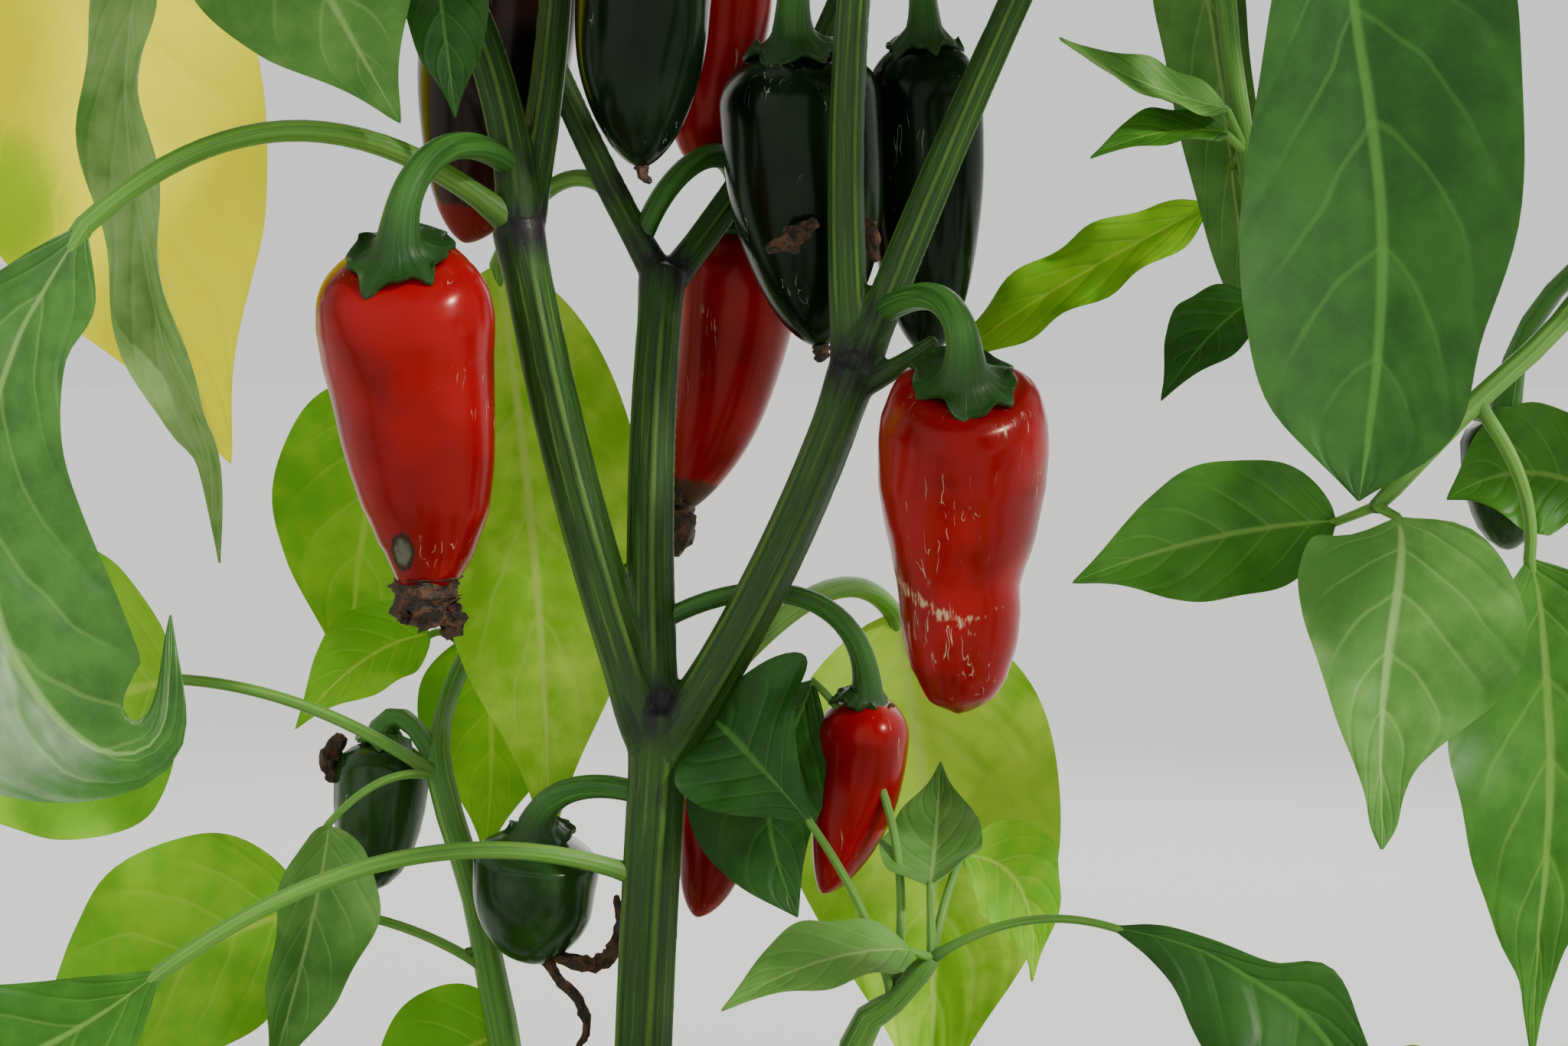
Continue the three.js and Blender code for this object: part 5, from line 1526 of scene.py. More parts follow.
@dataclass(frozen=True)
class StemFinish:
    """A ribbed green stem with paler lines, dark furrows and dark joints."""

    name: str
    green: Colour
    line: Colour
    furrow: Colour
    joint: Colour = (0.011, 0.007, 0.011)
    roughness: float = 0.42

    def build(self, effects: Effects) -> Material:
        """Makes the material, which reads the marks that the stem's skin carries."""
        material, nodes, shader = new_material(self.name, {"Specular IOR Level": 0.28})
        grain = nodes.add("Attribute", attribute_name="grain").outputs["Vector"]
        calm = nodes.add("Attribute", attribute_name="calm").outputs["Fac"]
        streak, line, speck = nodes.streaks(grain, effects)
        split = nodes.add("SeparateXYZ", {0: grain})
        turn = nodes.times(nodes.math("ARCTAN2", split.outputs[1], split.outputs[0]), StemSkin.RIBS / 2)
        off = nodes.math("ABSOLUTE", nodes.math("SINE", turn))
        beside = nodes.math("ABSOLUTE", nodes.math("SUBTRACT", off, 0.5))
        half_way = nodes.math("ABSOLUTE", nodes.math("COSINE", turn))
        middle = nodes.times(nodes.fall(half_way, 0.05, 0.2), nodes.times(streak, 0.6))
        pale = nodes.times(nodes.fall(off, 0.1, 0.34), nodes.scaled(streak, 0.4, 0.5))
        pale = nodes.times(nodes.math("MAXIMUM", pale, middle), calm)
        furrow = nodes.times(nodes.fall(beside, 0.02, 0.14), nodes.times(calm, 0.7))
        colour = nodes.mix(nodes.times(line, 0.2), self.green, self.line)
        colour = nodes.mix(nodes.times(nodes.fall(streak, 0.1, 0.5), 0.35), colour, self.furrow)
        colour = nodes.mix(pale, colour, self.line)
        colour = nodes.mix(furrow, colour, self.furrow)
        colour = nodes.mix(nodes.times(speck, 0.25), colour, self.furrow)
        dark = nodes.step(nodes.scaled(streak, 0.3, nodes.mark()), 0.42, 0.95)
        colour = nodes.mix(dark, colour, self.joint)
        height = nodes.scaled(line, 0.5, nodes.times(speck, -0.35))
        nodes.surface(shader, colour, nodes.scaled(streak, 0.12, self.roughness), (height, 0.5, 0.0003))
        return material


@dataclass(frozen=True)
class StalkFinish:
    """A green petiole, twig, pod stalk or calyx with long lines by its UV map."""

    name: str
    green: Colour
    line: Colour
    shade: Colour
    cap: Colour = (0.009, 0.037, 0.006)
    roughness: float = 0.42

    def build(self, effects: Effects) -> Material:
        """Makes the material."""
        material, nodes, shader = new_material(self.name, {"Specular IOR Level": 0.3})
        split = nodes.add("SeparateXYZ", {0: nodes.add("UVMap", uv_map="surface").outputs[0]})
        wide = nodes.times(split.outputs[0], 2 * math.pi)
        grain = nodes.add("CombineXYZ", {0: nodes.math("COSINE", wide), 1: nodes.math("SINE", wide),
                                         2: nodes.times(split.outputs[1], 40)}).outputs[0]
        streak, line, speck = nodes.streaks(grain, effects)
        colour = nodes.mix(streak, self.shade, self.green)
        colour = nodes.mix(nodes.times(line, 0.5), colour, self.line)
        colour = nodes.mix(nodes.times(nodes.mark(), 0.85), colour, self.cap)
        height = nodes.scaled(line, 0.6, nodes.times(speck, -0.3))
        nodes.surface(shader, colour, nodes.scaled(streak, 0.1, self.roughness), (height, 0.45, 0.00025))
        return material


@dataclass(frozen=True)
class PodFinish:
    """A waxy pod skin with cork cracks, and a second colour where the skin is marked."""

    name: str
    skin: Colour
    shade: Colour
    second: Colour
    core: Colour | None = None
    cork: Colour = (0.62, 0.5, 0.36)
    sheen: Colour = (1, 0.42, 0.36)
    amount: float = 0
    roughness: float = 0.24
    gloss: float = 0.6

    def build(self, effects: Effects) -> Material:
        """Makes the material."""
        material, nodes, shader = new_material(self.name, {
            "Specular IOR Level": self.gloss, "Specular Tint": (*self.sheen, 1), "IOR": 1.36,
            "Coat Weight": 0.03, "Coat Roughness": 0.1})
        cork = nodes.add("Group", {"Amount": self.amount}, node_tree=effects.cork)
        crack, mottle, relief = cork.outputs
        mark = nodes.mark()
        colour = nodes.mix(mottle, self.shade, self.skin)
        spot = nodes.add("TexCoord").outputs["Object"]
        fine = nodes.noise(nodes.stretched(spot, (1500, 1500, 420)), 1, 3)
        ragged = nodes.scaled(fine, 1.2, nodes.math("SUBTRACT", mark, 0.8))
        torn = nodes.times(nodes.step(ragged, 0.25, 0.55), nodes.step(mark, 0.02, 0.2))
        colour = nodes.mix(torn, colour, self.second)
        if self.core:
            middle = nodes.step(nodes.scaled(fine, 0.9, mark), 1.4, 2)
            colour = nodes.mix(middle, colour, self.core)
        colour = nodes.mix(nodes.times(crack, 0.8), colour, self.cork)
        rough = nodes.scaled(torn, 0.3, nodes.scaled(crack, 0.5, self.roughness))
        height = nodes.scaled(crack, 0.8, nodes.times(relief, 0.12))
        nodes.surface(shader, colour, rough, (height, 0.35, 0.0003))
        return material


@dataclass(frozen=True)
class DriedFinish:
    """A dried brown scrap."""

    name: str
    brown: Colour
    dark: Colour

    def build(self, effects: Effects) -> Material:
        """Makes the material."""
        material, nodes, shader = new_material(self.name, {})
        spot = nodes.add("TexCoord").outputs["Object"]
        mottle = nodes.step(nodes.noise(spot, 520, 3), 0.38, 0.62)
        colour = nodes.mix(mottle, self.dark, self.brown)
        nodes.surface(shader, colour, nodes.scaled(mottle, 0.3, 0.6), (mottle, 0.8, 0.0006))
        return material


DEEP_LEAF = LeafFinish(
    "deep_leaf", (0.026, 0.1, 0.011), (0.013, 0.06, 0.006), (0.09, 0.19, 0.05), (0.07, 0.19, 0.028), 0.42)
MID_LEAF = LeafFinish(
    "mid_leaf", (0.052, 0.18, 0.014), (0.028, 0.115, 0.008), (0.14, 0.27, 0.07), (0.15, 0.3, 0.045), 0.45)
# A yellow-green leaf colour, partly painted light shining through the leaf from behind.
BRIGHT_LEAF = LeafFinish(
    "bright_leaf", (0.25, 0.52, 0.01), (0.14, 0.4, 0.008), (0.26, 0.46, 0.04), (0.42, 0.6, 0.06), 0.52)
PALE_LEAF = LeafFinish(
    "pale_leaf", (0.12, 0.27, 0.05), (0.06, 0.18, 0.024), (0.22, 0.36, 0.13), (0.25, 0.42, 0.12), 0.5)
# The yellow leaf's colours are lifted and it glows a little: painted light shining through it from behind.
YELLOW_LEAF = LeafFinish(
    "yellow_leaf", (0.97, 0.92, 0), (0.95, 0.86, 0), (0.92, 0.86, 0.01), (0.95, 0.93, 0.02), 0.75,
    blotch=(0.34, 0.56, 0), relief=0.3, glow=0.18, gloss=0.1)
SHINY_LEAF = LeafFinish(
    "shiny_leaf", (0.05, 0.165, 0.018), (0.026, 0.1, 0.01), (0.13, 0.25, 0.06), (0.17, 0.32, 0.07), 0.42,
    relief=0.3, gloss=0.32)
# A pale grey-green leaf colour, brightened as painted light on the hanging leaf.
LIT_PALE_LEAF = LeafFinish(
    "silver_leaf", (0.26, 0.43, 0.12), (0.12, 0.27, 0.05), (0.3, 0.46, 0.2), (0.36, 0.52, 0.2), 0.5,
    gloss=0.32)
# Painted light: a brighter leaf colour for the two back leaves, standing in for light shining on and through
# them.
LIT_LEAF = LeafFinish(
    "lit_leaf", (0.46, 0.72, 0.05), (0.22, 0.52, 0.008), (0.34, 0.56, 0.05), (0.5, 0.66, 0.12), 0.55)
STEM = StemFinish("ribbed_stem", (0.02, 0.066, 0.007), (0.08, 0.165, 0.018), (0.006, 0.025, 0.003))
PETIOLE_SKIN = StalkFinish("petiole_green", (0.14, 0.32, 0.04), (0.26, 0.44, 0.09), (0.08, 0.22, 0.025))
TWIG_SKIN = StalkFinish("twig_green", (0.1, 0.25, 0.03), (0.22, 0.38, 0.07), (0.05, 0.15, 0.018))
CALYX = StalkFinish("calyx_green", (0.05, 0.17, 0.022), (0.12, 0.28, 0.06), (0.026, 0.1, 0.012))
RED_POD = PodFinish("red_pod_skin", (0.28, 0.002, 0.005), (0.165, 0.001, 0.003), (0.06, 0.035, 0.02))
SCARRED_RED_POD = replace(
    RED_POD, name="scarred_red_pod_skin", second=(0.02, 0.012, 0.008), core=(0.1, 0.115, 0.08), amount=0.05
)
CRACKED_RED_POD = replace(RED_POD, name="cracked_red_pod_skin", second=(0.5, 0.33, 0.2), amount=0.09)
STAINED_RED_POD = replace(RED_POD, name="stained_red_pod_skin", amount=0.07)
DARK_POD = PodFinish(
    "dark_pod_skin", (0.006, 0.015, 0.005), (0.002, 0.006, 0.002), (0.09, 0.04, 0.015),
    cork=(0.4, 0.42, 0.34), sheen=(0.8, 1, 0.8), amount=0.1, roughness=0.2, gloss=0.28)
MAROON_POD = PodFinish(
    "maroon_pod_skin", (0.03, 0.008, 0.006), (0.007, 0.005, 0.004), (0.16, 0.006, 0.004),
    sheen=(1, 0.8, 0.8), roughness=0.22, gloss=0.3)
GREEN_POD = PodFinish(
    "green_pod_skin", (0.016, 0.05, 0.01), (0.007, 0.024, 0.006), (0.16, 0.07, 0.02), sheen=(0.8, 1, 0.8),
    roughness=0.22, gloss=0.5)
DRIED = DriedFinish("dried_scrap", (0.09, 0.04, 0.018), (0.018, 0.012, 0.008))


class Studio:
    """The plain pale floor, the soft lights and the camera."""

    FLOOR_RADIUS = 12.0
    CAMERA = (0.027, -0.5586, 0.30506)

    def build(self) -> None:
        """Makes the floor, the lights and the camera."""
        work = bmesh.new()
        bmesh.ops.create_circle(work, cap_ends=True, segments=96, radius=self.FLOOR_RADIUS)
        mesh = bpy.data.meshes.new("floor")
        work.to_mesh(mesh)
        work.free()
        plain = {"Base Color": (0.61, 0.605, 0.595, 1), "Roughness": 0.8}
        mesh.materials.append(new_material("pale_floor", plain)[0])
        new_object("floor", mesh)
        self.light("sun_side", "SUN", (1.05, -0.6, 1.15), math.radians(6), 4.0, (1.0, 0.97, 0.9))
        self.light("fill_side", "AREA", (-1.1, -1.2, 0.7), 1.4, 2.5, (0.93, 0.97, 1.0))
        self.light("back_glow", "AREA", (0.25, 1.2, 0.85), 1.2, 7.0, (1.0, 0.99, 0.94))
        world = bpy.data.worlds.new("pale_room")
        world.use_nodes = True
        sky = world.node_tree.nodes["Background"].inputs
        sky[0].default_value, sky[1].default_value = (0.82, 0.82, 0.81, 1), 1.15
        bpy.context.scene.world = world
        camera = bpy.data.objects.new("camera", bpy.data.cameras.new("camera"))
        camera.data.lens, camera.data.sensor_width = 70.0, 36.0
        camera.location = self.CAMERA
        camera.rotation_euler = (math.radians(86), 0, 0)
        bpy.context.scene.collection.objects.link(camera)
        bpy.context.scene.camera = camera

    @staticmethod
    def light(name: str, kind: str, place: Colour, size: float, power: float, colour: Colour) -> None:
        """A light that faces the middle of the plant: a sun with an angle, or an area with a side."""
        lamp = bpy.data.lights.new(name, kind)
        lamp.energy, lamp.color = power, colour
        setattr(lamp, "angle" if kind == "SUN" else "size", size)
        holder = bpy.data.objects.new(name, lamp)
        holder.location = place
        away = Vector(place) - Vector((0.01, 0, 0.32))
        holder.rotation_euler = away.to_track_quat("Z", "Y").to_euler()
        bpy.context.scene.collection.objects.link(holder)


class StemSkin:
    """The stems and boughs as one skin, fused at their forks, with ribs and dark joints."""

    VOXEL = 0.62
    CHUNK = 20000
    ROUND = 28
    STEPS = 40
    RIBS = 5
    RIB_DEPTH = 0.06
    FORK_SWELL = 0.12
    FORK_REACH = 6
    LIMB_SHIFT = 37
    LIMB_TURN = 0.7
    TWIST = 0.15
    TWIST_LENGTH = 60
    FORKS = (FORK, LEFT_FORK, MIDDLE_FORK, RIGHT_FORK)
    FLARE = ((0.0, 10.0), (3.0, 8.6), (7.0, 7.4), (14.0, 6.6), (22.0, 6.2), (40.0, 5.6))
    STUB = Limb(at(41, -9, 291.5), at(54, -13, 299.5), up(-0.5), (2.3, 1.5))

    def __init__(self) -> None:
        """Works out the lines of the limbs."""
        self.lines: list[Vec] = []
        self.wide: list[Vec] = []
        for name, limb in [*LIMBS.items(), ("stub", self.STUB)]:
            line = arc(limb.start, limb.end, limb.bow, even(self.STEPS))
            radii = taper(limb, self.STEPS)
            if name == "main_stem":
                heights, widths = zip(*self.FLARE)
                radii = np.where(line[:, 2] < 40, np.interp(line[:, 2], heights, widths), radii)
            for fork in self.FORKS:
                away = np.linalg.norm(line - fork, axis=1) / self.FORK_REACH
                radii = radii * (1 + self.FORK_SWELL * np.exp(-(away**2)))
            self.lines.append(line)
            self.wide.append(radii)

    def tubes(self) -> Mesh:
        """The plain tubes of all limbs."""
        wrapping = Wrapping()
        angles = 2 * np.pi * even(self.ROUND)
        for line, radii in zip(self.lines, self.wide):
            path, radii = capped(line, radii, 0.001, radii[-1] * 0.5)
            wrapping.add(ring_points(path, radii, angles, level_hint(line)))
        return wrapping.mesh("tubes")

    def fused(self) -> Mesh:
        """The tubes fused into one smooth skin."""
        holder = new_object("tubes", self.tubes())
        joiner = holder.modifiers.new("fuse", "REMESH")
        joiner.mode, joiner.voxel_size = "VOXEL", self.VOXEL * MM
        relax = holder.modifiers.new("relax", "SMOOTH")
        relax.factor, relax.iterations = 0.5, 4
        graph = bpy.context.evaluated_depsgraph_get()
        mesh = bpy.data.meshes.new_from_object(holder.evaluated_get(graph))
        bpy.data.objects.remove(holder)
        return mesh

    def build(self, finish: Material) -> None:
        """Makes the skin, and lifts its ribs and notes its marks by the nearest limb."""
        mesh = self.fused()
        count = len(mesh.vertices)
        points = np.empty(count * 3)
        mesh.vertices.foreach_get("co", points)
        points = points.reshape(-1, 3) / MM
        best = np.full(count, 1e9)
        angle, along, radius = np.zeros(count), np.zeros(count), np.ones(count)
        outward = np.zeros((count, 3))
        for k, (line, radii) in enumerate(zip(self.lines, self.wide)):
            sides, ups = frames_along(line, level_hint(line))
            start, step = line[:-1], line[1:] - line[:-1]
            for low in range(0, count, self.CHUNK):
                part = slice(low, low + self.CHUNK)
                away = points[part, None] - start[None]
                share = np.clip((away * step).sum(-1) / (step * step).sum(-1), 0, 1)
                reach = np.linalg.norm(away - share[..., None] * step, axis=-1)
                near = reach.argmin(axis=1)
                rows = np.arange(len(near))
                gap = reach[rows, near] / radii[near]
                closer = gap < best[part]
                i, t = near[closer], share[rows, near][closer]
                foot = start[i] + t[:, None] * step[i]
                out = points[part][closer] - foot
                place = np.arange(low, low + len(near))[closer]
                best[place] = gap[closer]
                along[place] = np.linalg.norm(foot - line[0], axis=1) + self.LIMB_SHIFT * k
                turned = np.arctan2((out * ups[i]).sum(-1), (out * sides[i]).sum(-1)) + self.LIMB_TURN * k
                angle[place] = turned + self.TWIST * np.sin(along[place] / self.TWIST_LENGTH)
                radius[place] = radii[i]
                outward[place] = out / np.maximum(np.linalg.norm(out, axis=1), 1e-6)[:, None]
        near_fork = np.min([np.linalg.norm(points - fork, axis=1) for fork in self.FORKS], axis=0)
        rib = np.exp(-((np.sin(self.RIBS / 2 * angle) / 0.5) ** 2))
        calm = smoothstep(4, 16, near_fork) * smoothstep(0, 30, points[:, 2])
        points += outward * ((rib - 0.4) * 2 * self.RIB_DEPTH * radius * calm)[:, None]
        points[:, 2] = np.maximum(points[:, 2], 0)
        mesh.vertices.foreach_set("co", (points * MM).ravel())
        grain = np.stack([np.cos(angle), np.sin(angle), along], axis=1)
        self.note(mesh, "grain", "FLOAT_VECTOR", "vector", grain)
        self.note(mesh, "calm", "FLOAT", "value", calm)
        self.note(mesh, "mark", "FLOAT", "value", self.joints(points, near_fork))
        mesh.update()
        smooth(mesh, 75)
        mesh.name = "ribbed_stems"
        dressed(mesh, [finish], list(LIMBS))

    @staticmethod
    def note(mesh: Mesh, name: str, kind: str, key: str, values: Vec) -> None:
        """Keeps one value for each point of the mesh."""
        mesh.attributes.new(name, kind, "POINT").data.foreach_set(key, values.astype(float).ravel())

    @staticmethod
    def joints(points: Vec, near_fork: Vec) -> Vec:
        """How dark the skin is, by the forks and by where pods and petioles leave it."""
        dark = np.exp(-((near_fork / 7.5) ** 2))
        for part in (*FRUITS.values(), *LEAVES.values()):
            away = np.linalg.norm(points - part.root, axis=1)
            dark = np.maximum(dark, 0.75 * np.exp(-((away / 5) ** 2)))
        return dark


LEFT_PROFILE = Profile(
    falls=(0, 1.2, 3.9, 8.1, 13.6, 20.6, 27.6, 34.6, 41.6, 48.6, 55.7, 61.3, 63.0, 64.0),
    halves=(8.6, 11.0, 13.6, 15.3, 16.0, 15.6, 14.7, 13.7, 12.5, 11.0, 8.4, 5.6, 4.4, 3.0),
    shifts=(-0.4, -0.4, -0.4, -0.4, -0.3, -0.25, 0.2, 0.6, 1.2, 1.6, 1.4, 0.8, 0.8, 0.8),
)
RIGHT_PROFILE = Profile(
    falls=(0, 1.0, 2.8, 8.1, 13.7, 22.0, 30.3, 35.8, 40.0, 44.2, 49.7, 55.3, 59.5, 61.4, 62.4),
    halves=(8.2, 10.6, 12.7, 14.6, 15.2, 15.0, 13.2, 11.5, 10.4, 10.6, 10.1, 8.4, 6.0, 4.2, 0.2),
    shifts=(0.3, 0.3, 0.4, 0.8, 1.0, 1.2, 1.6, 1.6, 1.8, 2.3, 2.8, 3.1, 3.0, 3.1, 3.1),
)


@dataclass(frozen=True)
class PodDress:
    """A pod of the window, with how it is finished."""

    node: str
    finish: PodFinish
    profile: Profile | None = None
    turn: float = 0.0
    nod: float = 14.0
    ring: float | None = None
    stained: float | None = None
    scar: Vec | None = None

    def marks(self, pod: Pod, points: Vec) -> Vec:
        """Where the skin takes its second colour: a ring round a waist, or a stained tip."""
        share = ((points - pod.fruit.crown) @ pod.axis) / pod.length
        mark = np.zeros(points.shape[:2])
        if self.ring is not None:
            off = points[..., 0] - points[..., 0].mean(axis=1, keepdims=True)
            u = off / np.maximum(np.abs(off).max(axis=1, keepdims=True), 0.1)
            places = (-1, -0.7, -0.4, 0, 0.4, 0.8, 1)
            line = self.ring + np.interp(u, places, (-0.03, 0.01, 0.05, 0.06, 0.045, 0.015, 0))
            thick = np.interp(u, places, (0.04, 0.038, 0.03, 0.024, 0.014, 0.009, 0.012))
            strong = np.interp(u, places, (0.58, 0.64, 0.68, 0.66, 0.58, 0.48, 0.55))
            mark = strong * np.exp(-(((share - line) / thick) ** 2))
            fleck = np.hypot((u + 0.02) / 0.24, (share - self.ring - 0.08 - 0.1 * (u + 0.02)) / 0.022)
            mark = np.maximum(mark, 0.72 * np.exp(-(fleck**2)))
        if self.stained is not None:
            mark = np.maximum(mark, smoothstep(self.stained, self.stained + 0.12, share))
        if self.scar is not None:
            away = (points - self.scar) / at(3.0, 14, 4.8)
            mark = np.maximum(mark, 1.5 * (1 - smoothstep(0.45, 1.1, np.linalg.norm(away, axis=-1))))
        return mark

    def build(self, skins: Skins, calyx: Material) -> None:
        """Makes the pod's body, and its stalk and calyx."""
        fruit = FRUITS[self.node]
        pod = Pod(fruit, self.profile, self.turn, self.nod)
        wrapping = Wrapping()
        points = pod.body(64, 2 * np.pi * even(72))
        wrapping.add(points, self.marks(pod, points))
        body = wrapping.mesh(self.node + "_body", 80)
        dressed(body, [skins[self.finish.name]], [self.node])
        wrapping = Wrapping()
        rings = pod.stalk(22, 2 * np.pi * even(72))
        row = np.arange(len(rings))
        wrapping.add(rings, np.maximum(smoothstep(18, 25, row), 0.8 * np.exp(-((row / 3.0) ** 2)))[:, None])
        dressed(wrapping.mesh(self.node + "_stalk", 70), [calyx], [self.node])


POD_DRESSES = (
    PodDress("left_red_pod", SCARRED_RED_POD, LEFT_PROFILE, turn=0.4, nod=25, scar=at(-40.5, -26, 262)),
    PodDress("right_red_pod", CRACKED_RED_POD, RIGHT_PROFILE, turn=1.3, nod=27, ring=0.66),
    PodDress("upper_left_pod", MAROON_POD, turn=0.9, stained=0.82),
    PodDress("upper_middle_pod", DARK_POD, turn=2.0),
    PodDress("upper_red_pod", RED_POD, turn=0.2),
    PodDress("middle_dark_pod", DARK_POD, turn=1.1),
    PodDress("right_dark_pod", DARK_POD, turn=2.6),
    PodDress("middle_red_pod", STAINED_RED_POD, turn=0.7, stained=0.8),
    PodDress("lower_red_pod", RED_POD, turn=1.9),
    PodDress("hidden_red_pod", RED_POD, turn=0.1),
    PodDress("round_green_pod", GREEN_POD, turn=0.5, stained=0.95),
)


class Scrap:
    """A dried end, petal or tendril: its seed, how rough it is, and rows of its points with their radii."""

    def __init__(self, seed: int, rough: float, *rows: tuple[float, float, float, float]) -> None:
        """Keeps its rows as one array."""
        self.seed, self.rough, self.rows = seed, rough, np.array(rows, dtype=float)

    def line(self, steps: int) -> tuple[Vec, Vec]:
        """Its smooth path and the radii along it, with a number of steps in each span."""
        path = bent(self.rows[:, :3], steps)
        radii = np.interp(np.arange(len(path)) / steps, np.arange(len(self.rows)), self.rows[:, 3])
        return capped(path, radii, 0.4, 0.3)


SCRAPS = (
    Scrap(
        5, 0.16, (-37, -14, 258.5, 5), (-36.9, -14, 256, 5.7), (-36.8, -14.3, 252.6, 5.2),
        (-35.2, -14, 248.8, 3.4)),
    Scrap(8, 0.24, (-33.5, -14.5, 252, 2.2), (-32.6, -14.6, 248.8, 2.4), (-33.6, -14.2, 246.4, 1)),
    Scrap(11, 0.24, (-40.6, -14, 254, 1.8), (-41.3, -14.6, 251, 1.9), (-40.2, -14.6, 249, 0.7)),
    Scrap(3, 0.18, (5.6, 50, 271, 4.6), (5.2, 50, 266, 4), (6.4, 50, 261, 2.8), (5, 50, 256, 1.2)),
    Scrap(7, 0.2, (1, 3, 332, 1.4), (1.2, 2.5, 329.6, 1), (2.6, 2.5, 328.4, 0.5)),
    Scrap(9, 0.2, (34, 17, 299.5, 1.8), (34, 17, 297, 1.4), (33.4, 17, 295.4, 0.7)),
    Scrap(21, 0.3, (24, 2, 316, 0.7), (28.5, 1, 318, 2.2), (33, 1.6, 321, 0.9)),
    Scrap(24, 0.3, (38, 3, 322, 0.8), (42, 3.4, 319.5, 2), (44, 4, 314, 0.7)),
    Scrap(31, 0.3, (-60, 37, 221.5, 1.2), (-62.4, 36, 217, 2), (-61.6, 36, 212.5, 0.8)),
    Scrap(
        41, 0.22, (-18.6, 14, 183, 1.3), (-16, 13, 178.5, 1), (-12, 12, 174.4, 0.9), (-10.4, 12, 169, 0.8),
        (-13, 12, 164, 0.4)),
    Scrap(
        44, 0.26, (-17, 13, 183, 1), (-10, 11, 181.5, 1.5), (-5.5, 10, 184, 1.2), (-3.6, 9, 190, 1.1),
        (-4.6, 9, 195, 0.5)),
)


class Scraps:
    """The dried pod tips, petals and tendrils, joined."""

    def build(self, finish: Material) -> None:
        """Makes the joined piece."""
        wrapping = Wrapping()
        for scrap in SCRAPS:
            wrapping.add(crumpled(*scrap.line(5), scrap.seed, scrap.rough, 14))
        nodes = ["left_red_pod", "middle_red_pod", "upper_middle_pod", "middle_dark_pod", "round_green_pod"]
        dressed(wrapping.mesh("dried_scraps", 50), [finish], nodes)


TONES = dict(zip(Tone, (DEEP_LEAF, MID_LEAF, BRIGHT_LEAF, PALE_LEAF)))


def drawn(*rows: tuple[float, ...], **rest: object) -> dict[str, object]:
    """What redraws a leaf: the rows of its rib, the first at its base, and any other fields."""
    return {"base": at(*rows[0][:3]), "rib": rows, **rest}


class WindowLeaves:
    """The leaves that the photograph shows closely, each finely made."""

    LIES = {
        "left_arching_leaf": (SHINY_LEAF, Lie(24, 0.1, 2.6, 0.4, quilt=0.8)),
        "left_hanging_leaf": (LIT_PALE_LEAF, Lie(40, 0.3, 3.4, 1.0, quilt=0.4)),
        "upper_left_leaf": (PALE_LEAF, Lie(20, 0.14, 2.0, 2.0, quilt=0.5)),
        "small_upper_leaf": (DEEP_LEAF, Lie(30, 0.1, quilt=0.3)),
        "yellow_leaf": (YELLOW_LEAF, Lie(10, 0.06, quilt=0.4)),
        "lower_left_leaf": (MID_LEAF, Lie(16, 0.1, quilt=0.6)),
        "back_right_leaf": (LIT_LEAF, Lie(14, 0.12, quilt=0.7)),
        "back_left_leaf": (LIT_LEAF, Lie(16, 0.12, quilt=0.7)),
    }
    TRACED = {
        "left_arching_leaf": drawn(
            (-92.4, -36, 319.4, 0.6, 0.6), (-98, -39.5, 309.5, 9, 7), (-103.2, -43, 298, 9, 13),
            (-107.6, -48, 278, 14, 21), (-104.6, -53, 256, 19.5, 24), (-96.5, -55, 240.2, 18, 21),
            (-86, -53, 231, 13, 9), (-77.5, -50, 234.6, 4, 4.5), (-77, -44, 253.4, 0.2, 0.2),
            lift=at(-1, 0, 17), face=at(0.1, -1, 0.1), fold=0.1, stout=2.1),
        "left_hanging_leaf": drawn(
            (-88, 8, 370, 0.6, 0.6), (-92, 6, 361.7, 8.5, 7), (-93.4, 4, 343, 10, 8),
            (-91.2, 2, 324.4, 9, 7.5), (-87.4, 2, 301.5, 7.5, 7), (-81.4, 2, 286.4, 4.8, 6.5),
            (-77.4, 2, 277, 2.6, 3.4), (-77.1, 2, 258.5, 0.2, 0.2), face=at(-0.3, -1, 0), fold=0.6),
        "lower_left_leaf": drawn(
            (-83.3, -26, 188.1, 0.6, 0.6), (-95.9, -29, 179.7, 12, 9), (-115.5, -34, 169.8, 19, 17),
            (-129.8, -37, 164.3, 14, 12), (-143.2, -38, 161.8, 0.2, 0.2), face=at(-0.1, -1, 0.3), fold=0.15,
            stout=1.9),
        "back_right_leaf": dict(stout=1.5),
    }
    BLOTCH = at(-131, 72, 326)

    def build(self, skins: Skins, stalk: Material) -> None:
        """Makes each leaf with its petiole."""
        for name, (finish, lie) in self.LIES.items():
            wrapping = Wrapping()
            traced = self.TRACED.get(name, {})
            blot = self.BLOTCH if finish.blotch else None
            Blade(replace(LEAVES[name], lie=lie, **traced)).wrap(wrapping, 48, 40, 0, 1, blot)
            dressed(wrapping.mesh(name + "_blade"), [skins[finish.name], stalk], [name])


